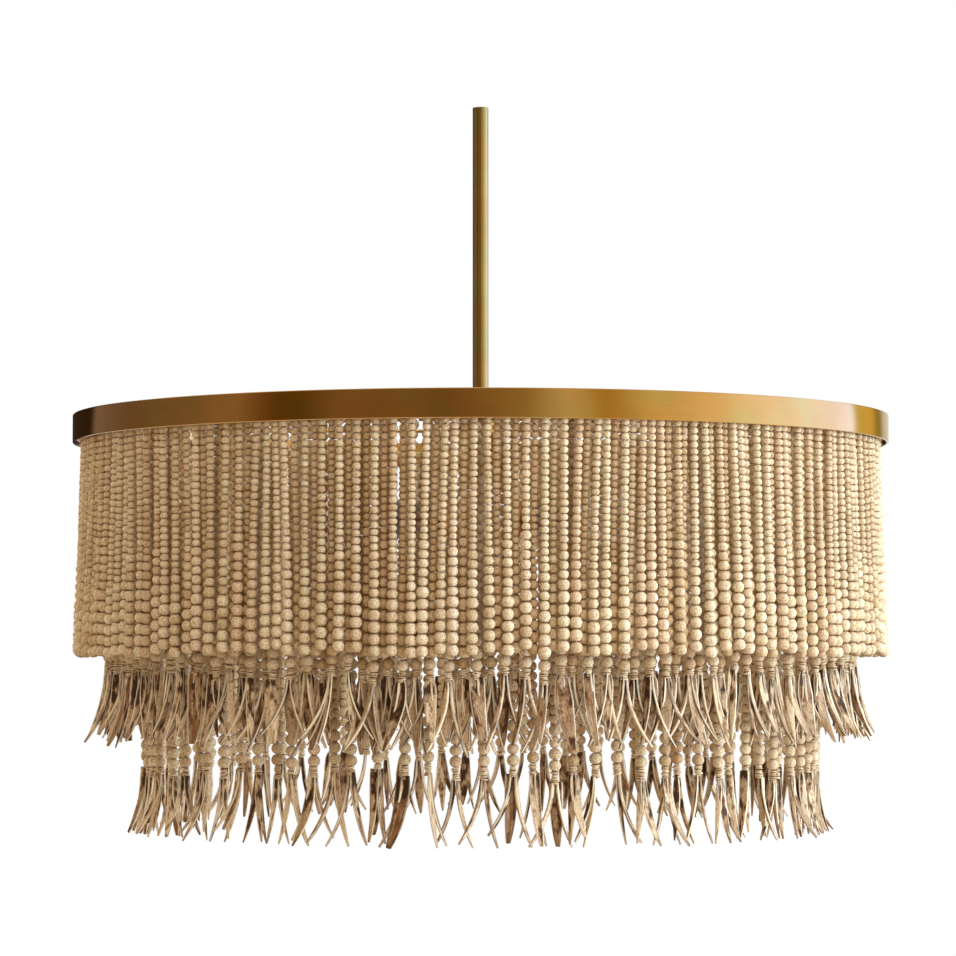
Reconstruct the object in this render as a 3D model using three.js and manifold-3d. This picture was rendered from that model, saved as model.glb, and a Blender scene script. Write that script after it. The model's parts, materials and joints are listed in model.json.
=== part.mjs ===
// Drum chandelier with three tiers of wooden bead strands.
// A brass band hangs on a down rod by a four-armed spider. Three round-wire rings under the arms
// carry the curtain: twelve hooked carriers to a tier, each with its own row of bead strands.
// Units are millimetres, +Z is up, and the origin is the centre of the rod's top end.

import * as THREE from 'three';
import { mergeVertices } from 'three/addons/utils/BufferGeometryUtils.js';
import Module from 'manifold-3d';

const wasm = await Module();
wasm.setup();

// Driving dimensions: fits
const seatGap = 0.3;
const boreClearance = 0.3;
const cutOverrun = 1;

// Driving dimensions: band and rod
const bandRadius = 406.5;
const bandHeight = 27;
const bandWall = 2.5;
const bandEdgeBreak = 0.6;
const bandTopDrop = 314;
const rodRadius = 7.95;
const rodWall = 1.8;
const collarRadius = 12.5;
const collarHeight = 9;
const collarBreak = 1.5;

// Driving dimensions: spider
const hubRadius = 22;
const hubTopInset = 2;
const hubHeight = 23;
const hubBreak = 3;
const hubSocketDepth = 12;
const armWidth = 14;
const armThickness = 3.6;
const armInset = 10.7;
const armRoot = 4;
const armTabHeight = 9.5;
const armTabThickness = 3;
const armCount = 4;

// Driving dimensions: hanger rings and carriers
const wireRadius = 2.5;
const carrierWidth = 8;
const carrierThickness = 2;
const carrierGap = 2.9;
const carrierEndGap = 4;
const hookWidth = 24;
const hookThickness = 1.2;
const hookLip = 1.5;

// Driving dimensions: where each tier hangs inside the band, and where its beads end below the band
const outerInset = 9;
const middleSpacing = 29;
const innerSpacing = 35;
const outerDrop = 209.5;
const middleDrop = 223;
const innerDrop = 311;

// Driving dimensions: how far each tier leans out by its last bead, and how far inside the strands'
// circle its hinge line lies, so that a loaded carrier hangs plumb
const outerLean = 5.5;
const middleLean = 4.5;
const innerLean = 1.5;
const outerHangOffset = 1.3;
const middleHangOffset = 1.3;
const innerHangOffset = 2.7;

// Driving dimensions: beads, discs and shards
const topBead = 6;
const lastBead = 11;
const discWidth = 6.5;
const discStack = 11;
const shardLength = 68;
const shardWidth = 9;
const shardThickness = 2.6;

// How many carriers to a tier, and strands to a carrier
const sectorCount = 12;
const outerStrands = 7;
const middleStrands = 5;
const innerStrands = 5;

// Shares of a sector that the middle and inner tiers are turned, so that their joints don't line up
const middleTurnShare = 1 / 3;
const innerTurnShare = 2 / 3;

// Driving dimensions: lamp cluster
const pipeRadius = 5;
const pipeWall = 1.4;
const pipeEntry = 7;
const nutHeight = 6;
const nutFlats = 17;
const clusterDrop = 96;
const clusterHeight = 40;
const clusterFlats = 84;
const clusterSides = 8;
const clusterBevel = 3;
const finialRadius = 13;
const finialHeight = 30;
const lampCount = 4;
const holderRadius = 17.5;
const holderLength = 46;
const holderCollar = 2;
const holderCollarLength = 10;
const holderFloor = 18;
const holderBreak = 3;
const capRadius = 13;
const capProud = 2.5;
const glassRadius = 30;
const glassLength = 80;

// Facets round each turned or bent form
const bandFacets = 48;
const ringFacets = 36;
const wireFacets = 6;
const turnedFacets = 16;
const smallFacets = 12;
const lampFacets = 10;
const carrierFacets = 4;
const hookBends = 3;

// Levels worked down from the rod's top end
const bandTopZ = -bandTopDrop;
const bandBottomZ = bandTopZ - bandHeight;
const hubTopZ = bandTopZ - hubTopInset;
const hubBottomZ = hubTopZ - hubHeight;
const socketFloorZ = hubTopZ - hubSocketDepth;
const armTopZ = bandTopZ - armInset;
const armBottomZ = armTopZ - armThickness;
const ringZ = armBottomZ - seatGap - wireRadius;
const carrierTopZ = ringZ - wireRadius - carrierGap;
const carrierBottomZ = carrierTopZ - carrierThickness;
const clusterTopZ = hubBottomZ - clusterDrop + clusterHeight;
const clusterBottomZ = clusterTopZ - clusterHeight;
const clusterMidZ = (clusterTopZ + clusterBottomZ) / 2;
const capLength = holderLength - holderFloor - seatGap + capProud;

const bandInnerRadius = bandRadius - bandWall;
const sectorAngle = (2 * Math.PI) / sectorCount;

// Each tier: the circle that its strands hang on, and its own drop, lean, fringe and turn
const tiers = {
  outer: {
    strandRadius: bandInnerRadius - outerInset,
    drop: outerDrop,
    lean: outerLean,
    strandsPerCarrier: outerStrands,
    fringe: false,
    hangOffset: outerHangOffset,
    turnShare: 0,
  },
  middle: {
    strandRadius: bandInnerRadius - outerInset - middleSpacing,
    drop: middleDrop,
    lean: middleLean,
    strandsPerCarrier: middleStrands,
    fringe: true,
    hangOffset: middleHangOffset,
    turnShare: middleTurnShare,
  },
  inner: {
    strandRadius: bandInnerRadius - outerInset - middleSpacing - innerSpacing,
    drop: innerDrop,
    lean: innerLean,
    strandsPerCarrier: innerStrands,
    fringe: true,
    hangOffset: innerHangOffset,
    turnShare: innerTurnShare,
  },
};

// Shards: shares of the strand pitch that they splay sideways, and of their own length outwards
const shardSplayShares = [0.27, -0.2];
const shardFlareShares = [0.2, 0.07];
const shardBendShare = 0.45;
const shardBendSplayShare = 0.25;
const shardStemWidthShare = 0.4;
const shardStemThicknessShare = 0.6;

// Colour, roughness and metalness of each finish
const brass = new THREE.MeshStandardMaterial({ color: 0x9a6f34, roughness: 0.35, metalness: 1 });
const wood = new THREE.MeshStandardMaterial({ color: 0xd8bf92, roughness: 0.75, metalness: 0 });
const steel = new THREE.MeshStandardMaterial({ color: 0xb9b7b0, roughness: 0.4, metalness: 1 });
const moulded = new THREE.MeshStandardMaterial({ color: 0x2b2622, roughness: 0.5, metalness: 0 });
const glass = new THREE.MeshStandardMaterial({ color: 0xf6efe0, roughness: 0.1, metalness: 0 });

// Solids: closed geometry in and out of the boolean library
function solidOf(geometry) {
  const bare = new THREE.BufferGeometry();
  bare.setAttribute('position', geometry.getAttribute('position'));
  bare.setIndex(geometry.index);
  const merged = mergeVertices(bare);
  return new wasm.Manifold(
    new wasm.Mesh({
      numProp: 3,
      vertProperties: new Float32Array(merged.attributes.position.array),
      triVerts: new Uint32Array(merged.index.array),
    }),
  );
}

function geometryOf(solid) {
  const mesh = solid.getMesh();
  const geometry = new THREE.BufferGeometry();
  geometry.setAttribute('position', new THREE.BufferAttribute(mesh.vertProperties, mesh.numProp));
  geometry.setIndex(new THREE.BufferAttribute(mesh.triVerts, 1));
  geometry.computeVertexNormals();
  return geometry;
}

function joined(geometries) {
  const solids = geometries.map(solidOf);
  return geometryOf(solids.reduce((whole, next) => whole.add(next)));
}

// Forms: a revolve about Z, a loft through rings of points, and a polygon extruded along Z
function revolved(profile, facets) {
  const points = profile.map(([radius, height]) => new THREE.Vector2(radius, height));
  return new THREE.LatheGeometry(points, facets).rotateX(Math.PI / 2);
}

// A closed section revolved into a ring: the last point meets the first
function ringOf(section, facets) {
  return revolved([...section, section[0]], facets);
}

// Rings are lists of points in order round the form. A ring of one point is a tip.
function lofted(rings) {
  const positions = rings.flat().flatMap((point) => point.toArray());
  const faces = [];
  let start = 0;
  for (let i = 0; i + 1 < rings.length; i += 1) {
    const here = rings[i].length;
    const next = rings[i + 1].length;
    for (let k = 0; k < here; k += 1) {
      const a = start + k;
      const b = start + ((k + 1) % here);
      const c = start + here + (k % next);
      const d = start + here + ((k + 1) % next);
      faces.push(a, b, c);
      if (next > 1) faces.push(b, d, c);
    }
    start += here;
  }
  const first = rings[0].length;
  for (let k = 1; k + 1 < first; k += 1) faces.push(0, k + 1, k);
  const last = rings.at(-1).length;
  for (let k = 1; k + 1 < last; k += 1) faces.push(start, start + k, start + k + 1);
  const geometry = new THREE.BufferGeometry();
  geometry.setAttribute('position', new THREE.Float32BufferAttribute(positions, 3));
  geometry.setIndex(faces);
  return geometry;
}

function extruded(outline, depth, holeRadius = 0) {
  const shape = new THREE.Shape(outline.map(([x, y]) => new THREE.Vector2(x, y)));
  if (holeRadius > 0) {
    shape.holes.push(new THREE.Path().absarc(0, 0, holeRadius, 0, 2 * Math.PI, true));
  }
  return new THREE.ExtrudeGeometry(shape, {
    depth,
    bevelEnabled: false,
    curveSegments: smallFacets,
  });
}

// Corners of a regular polygon that is flats wide between opposite sides
function polygon(sides, flats) {
  const cornerRadius = flats / 2 / Math.cos(Math.PI / sides);
  return Array.from({ length: sides }, (_, i) => {
    const angle = ((i + 0.5) * 2 * Math.PI) / sides;
    return [cornerRadius * Math.cos(angle), cornerRadius * Math.sin(angle)];
  });
}

// Down rod: a plain tube, open at both ends, that stands in the hub's socket
function downRodGeometry() {
  const bottom = socketFloorZ + seatGap;
  return ringOf(
    [
      [rodRadius - rodWall, bottom],
      [rodRadius, bottom],
      [rodRadius, 0],
      [rodRadius - rodWall, 0],
    ],
    turnedFacets,
  );
}

// Rod collar: slides down the rod to cover the joint with the hub
function rodCollarGeometry() {
  const bottom = hubTopZ + seatGap;
  const top = bottom + collarHeight;
  const bore = rodRadius + boreClearance;
  return ringOf(
    [
      [bore, bottom],
      [collarRadius, bottom],
      [collarRadius, top - collarBreak],
      [collarRadius - collarBreak, top],
      [bore, top],
    ],
    turnedFacets,
  );
}

// Band: thin wall with broken edges
function bandGeometry() {
  return ringOf(
    [
      [bandInnerRadius, bandBottomZ],
      [bandRadius - bandEdgeBreak, bandBottomZ],
      [bandRadius, bandBottomZ + bandEdgeBreak],
      [bandRadius, bandTopZ - bandEdgeBreak],
      [bandRadius - bandEdgeBreak, bandTopZ],
      [bandInnerRadius, bandTopZ],
    ],
    bandFacets,
  );
}

// Spider: turned hub with a socket for the rod and a bore for the pipe, and arms bent down at the band
function hubGeometry() {
  const socket = rodRadius + boreClearance;
  const pipeBore = pipeRadius + boreClearance;
  return ringOf(
    [
      [pipeBore, hubBottomZ],
      [hubRadius - hubBreak, hubBottomZ],
      [hubRadius, hubBottomZ + hubBreak],
      [hubRadius, hubTopZ - hubBreak],
      [hubRadius - hubBreak, hubTopZ],
      [socket, hubTopZ],
      [socket, socketFloorZ],
      [pipeBore, socketFloorZ],
    ],
    turnedFacets,
  );
}

function armGeometry(index) {
  const root = hubRadius - armRoot;
  const end = bandInnerRadius * Math.cos(Math.PI / bandFacets) - seatGap;
  const tabBottom = armTopZ - armTabHeight;
  const profile = [
    [root, armBottomZ],
    [end - armTabThickness, armBottomZ],
    [end - armTabThickness, tabBottom],
    [end, tabBottom],
    [end, armTopZ],
    [root, armTopZ],
  ];
  return extruded(profile, armWidth)
    .translate(0, 0, -armWidth / 2)
    .rotateX(Math.PI / 2)
    .rotateZ((index * 2 * Math.PI) / armCount);
}

function spiderGeometry() {
  const arms = Array.from({ length: armCount }, (_, i) => armGeometry(i));
  return joined([hubGeometry(), ...arms]);
}

// Hanger ring: a facet of the wire lies square under each hook
function hingeRadius(tier) {
  return tier.strandRadius - tier.hangOffset;
}

function hangerRingGeometry(tier) {
  const bendRadius = hingeRadius(tier) / Math.cos(Math.PI / ringFacets);
  const section = Array.from({ length: wireFacets }, (_, i) => {
    const angle = Math.PI / 2 + (i * 2 * Math.PI) / wireFacets;
    return [bendRadius + wireRadius * Math.cos(angle), wireRadius * Math.sin(angle)];
  });
  return ringOf(section, ringFacets);
}

// Hook: a strap folded over the wire, from the carrier up the outside to a short lip inside
function hookGeometry(tier) {
  const inner = (wireRadius + seatGap) / Math.cos(Math.PI / 2 / hookBends);
  const outer = inner + hookThickness;
  const legBottom = carrierTopZ - carrierThickness / 2 - ringZ;
  const over = Array.from({ length: hookBends + 1 }, (_, i) => (i * Math.PI) / hookBends);
  const outside = over.map((angle) => [outer * Math.cos(angle), outer * Math.sin(angle)]);
  const inside = over.map((angle) => [inner * Math.cos(angle), inner * Math.sin(angle)]);
  const outline = [
    [outer, legBottom],
    ...outside,
    [-outer, -hookLip],
    [-inner, -hookLip],
    ...inside.reverse(),
    [inner, legBottom],
  ];
  return extruded(outline, hookWidth)
    .translate(0, 0, -hookWidth / 2)
    .rotateX(Math.PI / 2)
    .translate(hingeRadius(tier), 0, 0);
}

// Carrier: a flat strip bent to the strands' circle, short of its sector's ends
function carrierGeometry(tier) {
  const halfAngle = sectorAngle / 2 - carrierEndGap / 2 / tier.strandRadius;
  const top = carrierTopZ - ringZ;
  const bottom = carrierBottomZ - ringZ;
  const inside = tier.strandRadius - carrierWidth / 2;
  const outside = tier.strandRadius + carrierWidth / 2;
  const rings = Array.from({ length: carrierFacets + 1 }, (_, i) => {
    const angle = halfAngle * ((2 * i) / carrierFacets - 1);
    const outwards = new THREE.Vector3(Math.cos(angle), Math.sin(angle), 0);
    const corner = (radius, height) => outwards.clone().multiplyScalar(radius).setZ(height);
    return [
      corner(inside, bottom),
      corner(inside, top),
      corner(outside, top),
      corner(outside, bottom),
    ];
  });
  return lofted(rings);
}

// A square section of the given width, centred at a radius on a strand's own angle
function squareRing(angle, radius, height, width) {
  const outwards = new THREE.Vector3(Math.cos(angle), Math.sin(angle), 0);
  const sideways = new THREE.Vector3(-Math.sin(angle), Math.cos(angle), 0);
  const half = width / 2;
  const centre = outwards.clone().multiplyScalar(radius).setZ(height);
  return [
    [-half, -half],
    [-half, half],
    [half, half],
    [half, -half],
  ].map(([out, side]) => centre.clone().addScaledVector(outwards, out).addScaledVector(sideways, side));
}

function strandAngles(tier) {
  const count = tier.strandsPerCarrier;
  return Array.from({ length: count }, (_, i) => sectorAngle * ((i + 0.5) / count - 0.5));
}

// Strand: its beads swell downwards, and a fringed strand narrows again to its stack of discs
function strandGeometry(tier, angle) {
  const top = carrierTopZ - carrierThickness / 2 - ringZ;
  const bottom = bandBottomZ - tier.drop - ringZ;
  const endRadius = tier.strandRadius + tier.lean;
  const rings = [
    squareRing(angle, tier.strandRadius, top, topBead),
    squareRing(angle, endRadius, bottom, lastBead),
  ];
  if (tier.fringe) {
    rings.push(squareRing(angle, endRadius, bottom - discStack, discWidth));
  }
  return lofted(rings);
}

// Shard: a thin three-sided blade that hangs from the discs, widens, and bends away to a point
function shardGeometry(tier, angle, number) {
  const pitch = (sectorAngle * tier.strandRadius) / tier.strandsPerCarrier;
  const splay = pitch * shardSplayShares[number];
  const flare = shardLength * shardFlareShares[number];
  const top = bandBottomZ - tier.drop - discStack / 2 - ringZ;
  const radius = tier.strandRadius + tier.lean;
  const outwards = new THREE.Vector3(Math.cos(angle), Math.sin(angle), 0);
  const sideways = new THREE.Vector3(-Math.sin(angle), Math.cos(angle), 0);
  const centre = (share, lean) =>
    outwards
      .clone()
      .multiplyScalar(radius + flare * lean)
      .addScaledVector(sideways, splay * lean)
      .setZ(top - shardLength * share);
  const blade = (share, lean, width, thickness) => [
    centre(share, lean).addScaledVector(sideways, width / 2),
    centre(share, lean).addScaledVector(outwards, thickness),
    centre(share, lean).addScaledVector(sideways, -width / 2),
  ];
  return lofted([
    blade(0, 0, shardWidth * shardStemWidthShare, shardThickness * shardStemThicknessShare),
    blade(shardBendShare, shardBendSplayShare, shardWidth, shardThickness),
    [centre(1, 1)],
  ]);
}

// Curtain panel: hook, carrier, strands and shards as the one piece that swings on its ring
function curtainGeometry(tier) {
  const angles = strandAngles(tier);
  const strands = angles.map((angle) => strandGeometry(tier, angle));
  const shards = tier.fringe
    ? angles.flatMap((angle, i) => {
        const numbers = i % 2 === 0 ? [0] : [0, 1];
        return numbers.map((number) => shardGeometry(tier, angle, number));
      })
    : [];
  return joined([carrierGeometry(tier), hookGeometry(tier), ...strands, ...shards]);
}

// Threaded pipe: starts inside the rod, passes the hub, nuts and cluster, and ends in the finial
function pipeGeometry() {
  const top = socketFloorZ + pipeEntry;
  const bottom = clusterBottomZ - seatGap - pipeEntry;
  return ringOf(
    [
      [pipeRadius - pipeWall, bottom],
      [pipeRadius, bottom],
      [pipeRadius, top],
      [pipeRadius - pipeWall, top],
    ],
    smallFacets,
  );
}

function nutGeometry() {
  return extruded(polygon(6, nutFlats), nutHeight, pipeRadius + boreClearance);
}

// Cluster body: one flat for each lampholder, with bevelled top and bottom
function clusterGeometry() {
  const rings = [
    [clusterFlats - 2 * clusterBevel, 0],
    [clusterFlats, clusterBevel],
    [clusterFlats, clusterHeight - clusterBevel],
    [clusterFlats - 2 * clusterBevel, clusterHeight],
  ].map(([flats, height]) => polygon(clusterSides, flats).map(([x, y]) => new THREE.Vector3(x, y, height)));
  const pipeHole = revolved(
    [
      [0, -cutOverrun],
      [pipeRadius + boreClearance, -cutOverrun],
      [pipeRadius + boreClearance, clusterHeight + cutOverrun],
      [0, clusterHeight + cutOverrun],
    ],
    smallFacets,
  );
  return geometryOf(solidOf(lofted(rings)).subtract(solidOf(pipeHole)));
}

// Finial: a turned knob, bored from above for the end of the pipe
function finialGeometry() {
  const bore = pipeRadius + boreClearance;
  const boreFloor = -pipeEntry - seatGap;
  const neckShare = 0.62;
  const neckHeightShare = 0.4;
  const bellyHeightShare = 0.7;
  const tipShare = 0.35;
  return revolved(
    [
      [0, -finialHeight],
      [finialRadius * tipShare, -finialHeight],
      [finialRadius * neckShare, -finialHeight * bellyHeightShare],
      [finialRadius * neckShare, -finialHeight * neckHeightShare],
      [finialRadius, -finialHeight * neckHeightShare * neckShare],
      [finialRadius, 0],
      [bore, 0],
      [bore, boreFloor],
      [0, boreFloor],
    ],
    turnedFacets,
  );
}

// Lampholder: a cup with a collar at its mouth, standing on its flat of the cluster body
function holderGeometry() {
  const bore = capRadius + boreClearance;
  const collarStart = holderLength - holderCollarLength;
  return revolved(
    [
      [0, 0],
      [holderRadius - holderBreak, 0],
      [holderRadius, holderBreak],
      [holderRadius, collarStart],
      [holderRadius + holderCollar, collarStart],
      [holderRadius + holderCollar, holderLength],
      [bore, holderLength],
      [bore, holderFloor],
      [0, holderFloor],
    ],
    lampFacets,
  );
}

// Bulb: a screw cap in the holder and a pear-shaped glass, drawn from the cap's end
function bulbGeometry() {
  const neckShare = 0.5;
  const glassShares = [
    [0.75, 0.26],
    [1, 0.56],
    [0.82, 0.84],
    [0.36, 0.98],
  ];
  return revolved(
    [
      [0, 0],
      [capRadius * neckShare, 0],
      [capRadius, capRadius * neckShare],
      [capRadius, capLength],
      [glassRadius * neckShare, capLength + capProud],
      ...glassShares.map(([wide, along]) => [glassRadius * wide, capLength + glassLength * along]),
      [0, capLength + glassLength],
    ],
    lampFacets,
  );
}

// Assembly
const chandelier = new THREE.Group();

function addPiece(name, geometry, material, parent = chandelier) {
  const mesh = new THREE.Mesh(geometry, material);
  mesh.name = name;
  parent.add(mesh);
  return mesh;
}

addPiece('down_rod', downRodGeometry(), brass);
addPiece('rod_collar', rodCollarGeometry(), brass);
addPiece('band', bandGeometry(), brass);
addPiece('spider', spiderGeometry(), brass);
addPiece('threaded_pipe', pipeGeometry(), brass);

const nut = nutGeometry();
addPiece('hub_nut', nut, steel).position.z = hubBottomZ - seatGap - nutHeight;
addPiece('cluster_nut', nut, steel).position.z = clusterTopZ + seatGap;
addPiece('cluster_body', clusterGeometry(), brass).position.z = clusterBottomZ;
addPiece('finial', finialGeometry(), brass).position.z = clusterBottomZ - seatGap;

for (const [name, tier] of Object.entries(tiers)) {
  const hung = new THREE.Group();
  hung.position.z = ringZ;
  chandelier.add(hung);
  addPiece(`${name}_hanger_ring`, hangerRingGeometry(tier), brass, hung);
  const curtain = curtainGeometry(tier);
  for (let i = 0; i < sectorCount; i += 1) {
    const number = String(i + 1).padStart(2, '0');
    const panel = addPiece(`${name}_curtain_${number}`, curtain, wood, hung);
    panel.rotation.z = sectorAngle * (i + 0.5 + tier.turnShare);
  }
}

const holder = holderGeometry();
const bulb = bulbGeometry();
for (let i = 0; i < lampCount; i += 1) {
  const lamp = new THREE.Group();
  lamp.position.z = clusterMidZ;
  lamp.rotation.z = (i * 2 * Math.PI) / lampCount;
  chandelier.add(lamp);
  const lampholder = addPiece(`lampholder_${i + 1}`, holder, moulded, lamp);
  lampholder.position.x = clusterFlats / 2 + seatGap;
  lampholder.rotation.y = Math.PI / 2;
  const lightBulb = addPiece(`bulb_${i + 1}`, bulb, glass, lamp);
  lightBulb.position.x = clusterFlats / 2 + seatGap + holderFloor + seatGap;
  lightBulb.rotation.y = Math.PI / 2;
}

export default chandelier;
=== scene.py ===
# %% [markdown]
# # A drum chandelier with three tiers of wooden bead strands
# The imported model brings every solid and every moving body. This lesson dresses it: the brass gets its
# satin finish, and each plain panel of bars becomes strings of turned beads, thin discs and curved shards.

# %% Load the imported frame
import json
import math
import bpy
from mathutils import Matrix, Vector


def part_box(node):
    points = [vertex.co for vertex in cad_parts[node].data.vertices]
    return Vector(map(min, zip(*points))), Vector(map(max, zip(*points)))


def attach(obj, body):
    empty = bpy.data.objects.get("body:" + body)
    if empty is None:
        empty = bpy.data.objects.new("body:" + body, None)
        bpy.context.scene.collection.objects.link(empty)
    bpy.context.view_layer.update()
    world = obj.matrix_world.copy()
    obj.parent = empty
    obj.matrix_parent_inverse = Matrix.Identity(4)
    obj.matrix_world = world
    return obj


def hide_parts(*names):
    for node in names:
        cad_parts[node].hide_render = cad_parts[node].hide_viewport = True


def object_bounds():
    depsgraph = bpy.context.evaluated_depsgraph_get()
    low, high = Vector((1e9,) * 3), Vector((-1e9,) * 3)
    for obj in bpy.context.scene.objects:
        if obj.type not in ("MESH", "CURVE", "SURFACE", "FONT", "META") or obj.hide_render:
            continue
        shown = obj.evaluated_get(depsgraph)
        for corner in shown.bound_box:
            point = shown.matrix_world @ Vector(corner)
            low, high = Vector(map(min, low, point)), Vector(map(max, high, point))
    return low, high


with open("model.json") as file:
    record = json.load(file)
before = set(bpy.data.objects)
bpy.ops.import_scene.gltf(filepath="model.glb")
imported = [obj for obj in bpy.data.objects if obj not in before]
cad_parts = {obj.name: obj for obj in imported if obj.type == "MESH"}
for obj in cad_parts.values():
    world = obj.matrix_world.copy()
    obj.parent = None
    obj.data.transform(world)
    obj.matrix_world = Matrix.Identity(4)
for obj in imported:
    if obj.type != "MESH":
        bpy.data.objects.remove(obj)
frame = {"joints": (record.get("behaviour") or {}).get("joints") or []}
cad_low, cad_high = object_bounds()

# %% [markdown]
# NumPy does the heavy work here, because about fifteen thousand beads are too many to add one at a time
# with Blender's own operators. Blender only gets the finished lists of points and faces.

# %% Imports, units and two helpers for lists of points
from types import SimpleNamespace

import bpy
import numpy as np
from mathutils import Vector

MM = 0.001
UP = np.array((0.0, 0.0, 1.0))


def angles(count):
    """Compass angles of points that stand evenly round a circle."""
    return 2 * np.pi * np.arange(count) / count


def joined(*parts):
    """Lays x, y and z values side by side as points, and repeats a value that all of them share."""
    return np.stack(np.broadcast_arrays(*parts), -1)


band_low, band_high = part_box("band")
BAND_RADIUS = band_high.x
print("band", round(2 * BAND_RADIUS, 4), "m across, from", round(band_low.z, 4), "to", round(band_high.z, 4))

# %% [markdown]
# ## Camera
# The photograph was taken from a few metres away, with the lens level with the bottom of the outer tier.
# Two things fix the place: the horizon, where the tiers' lower edges look straight, and how much larger
# the near side of the band is than the far side. A slight upward tilt then frames the whole light.

# %% Set the camera at the photograph's angle
PHOTO_SIDE = 956
FOCAL_PIXELS = 3441
CAMERA_DISTANCE = 3.445
EYE_BELOW_BAND_TOP = 0.2365
TILT_UP, TURN_LEFT = math.radians(2.94), math.radians(0.043)

camera_data = bpy.data.cameras.new("photo_camera")
camera_data.sensor_width = 36
camera_data.lens = FOCAL_PIXELS / PHOTO_SIDE * camera_data.sensor_width
camera = bpy.data.objects.new("photo_camera", camera_data)
camera.location = (0, -CAMERA_DISTANCE, band_high.z - EYE_BELOW_BAND_TOP)
camera.rotation_euler = (math.pi / 2 + TILT_UP, 0, TURN_LEFT)
bpy.context.scene.collection.objects.link(camera)
bpy.context.scene.camera = camera
bpy.context.scene.view_settings.view_transform = "Standard"
print("lens", round(camera_data.lens, 1), "mm")

# %% [markdown]
# ## Building material node trees
# A material is a tree of nodes. These helpers keep the later cells short. The first adds a node and sets or
# links its inputs, and the others make the few patterns of nodes that nearly every finish here needs.

# %% Node helpers
def add_node(tree, kind, inputs=None, **settings):
    """Adds a shader node. An input is given as a value, or as another node's output to link."""
    made = tree.nodes.new("ShaderNode" + kind)
    for key, value in settings.items():
        setattr(made, key, value)
    for key, value in (inputs or {}).items():
        if isinstance(value, bpy.types.NodeSocket):
            tree.links.new(value, made.inputs[key])
        else:
            made.inputs[key].default_value = value
    return made


def math_of(tree, operation, first, second=0.0):
    """A sum, a product or another operation on two values."""
    return add_node(tree, "Math", {0: first, 1: second}, operation=operation).outputs[0]


def ranged(tree, value, low, high, to_low=0.0, to_high=1.0):
    """value taken from the range low..high to the range to_low..to_high, and kept inside it."""
    inputs = {"Value": value, "From Min": low, "From Max": high, "To Min": to_low, "To Max": to_high}
    return add_node(tree, "MapRange", inputs).outputs[0]


def mixed(tree, factor, first, second, blend="MIX"):
    """The colour between first and second. Inputs 0, 6 and 7 are a colour Mix node's factor, A and B."""
    inputs = {0: factor, 6: first, 7: second}
    return add_node(tree, "Mix", inputs, data_type="RGBA", blend_type=blend).outputs[2]


def with_stain(tree, colour, where, low, high, strength, stain, blend="MIX"):
    """colour with a stain on it, which comes in as where rises from low to high."""
    return mixed(tree, ranged(tree, where, low, high, 0, strength), colour, stain, blend)


def noise(tree, place, fineness, detail=2.0, roughness=0.5):
    """Cloudy noise. fineness is per unit of place, as one number or as one each for x, y and z."""
    if isinstance(fineness, tuple):
        place = add_node(tree, "VectorMath", {0: place, 1: fineness}, operation="MULTIPLY").outputs[0]
        fineness = 1.0
    inputs = {"Vector": place, "Scale": fineness, "Detail": detail, "Roughness": roughness}
    return add_node(tree, "TexNoise", inputs).outputs["Fac"]


# %% [markdown]
# A finish starts as constants on a Principled shader. What varies over the surface, such as its colour, its
# roughness and its fine relief, is then linked in.

# %% Material helpers
WHITE = (1, 1, 1, 1)


def principled(name, **sockets):
    """A new material with constants set on its Principled shader. Returns material, tree and shader."""
    material = bpy.data.materials.new(name)
    material.use_nodes = True
    shader = material.node_tree.nodes["Principled BSDF"]
    for key, value in sockets.items():
        shader.inputs[key.replace("_", " ")].default_value = value
    return material, material.node_tree, shader


def own_place(tree):
    """The place of a point in the object's own coordinates, in metres."""
    return add_node(tree, "TexCoord").outputs["Object"]


def link_finish(tree, shader, colour=None, roughness=None, height=None, strength=0.0, depth=0.0):
    """Links a colour, a roughness and a height, which stands up as a bump, to a shader."""
    bump = None
    if height is not None:
        bump = add_node(tree, "Bump", {"Height": height, "Strength": strength, "Distance": depth}).outputs[0]
    for socket, value in (("Base Color", colour), ("Roughness", roughness), ("Normal", bump)):
        if value is not None:
            tree.links.new(value, shader.inputs[socket])


# %% [markdown]
# ## Studio: white surroundings and a floor
# The photograph has a pure white background. More light would bleach the wood, so the world is white only
# to the camera and in reflections, and gives a quieter light to everything else: warm and dim from the left
# and from below, paler and stronger from the right and from above, as a studio with one window does.

# %% Light the world
DIM_LIGHT, WINDOW_LIGHT = 0.49, 1.48
WARM, PALE = (1.0, 0.74, 0.43, 1), (0.88, 0.92, 0.98, 1)
TO_WINDOW = (0.91, -0.18, 0.37)
# How much a direction faces the window, from -1 to 1, where the light is still all warm and dim
FULL_SHADE = -0.4
world = bpy.data.worlds.new("white_studio")
bpy.context.scene.world = world
world.use_nodes = True
tree = world.node_tree
tree.nodes.clear()
ray = add_node(tree, "LightPath").outputs
seen = math_of(tree, "MAXIMUM", ray["Is Camera Ray"], ray["Is Glossy Ray"])
seen = math_of(tree, "MAXIMUM", seen, ray["Is Transmission Ray"])
way = add_node(tree, "TexCoord").outputs["Generated"]
facing = add_node(tree, "VectorMath", {0: way, 1: TO_WINDOW}, operation="DOT_PRODUCT").outputs["Value"]
tint = mixed(tree, ranged(tree, facing, FULL_SHADE, 1.0), WARM, PALE)
level = ranged(tree, facing, FULL_SHADE, 1.0, DIM_LIGHT, WINDOW_LIGHT)
soft = add_node(tree, "Background", {"Color": tint, "Strength": level})
white = add_node(tree, "Background", {"Color": WHITE, "Strength": 1.0})
both = add_node(tree, "MixShader", {0: seen, 1: soft.outputs[0], 2: white.outputs[0]})
add_node(tree, "OutputWorld", {"Surface": both.outputs[0]})
print("world light from", DIM_LIGHT, "to", WINDOW_LIGHT)

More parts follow.
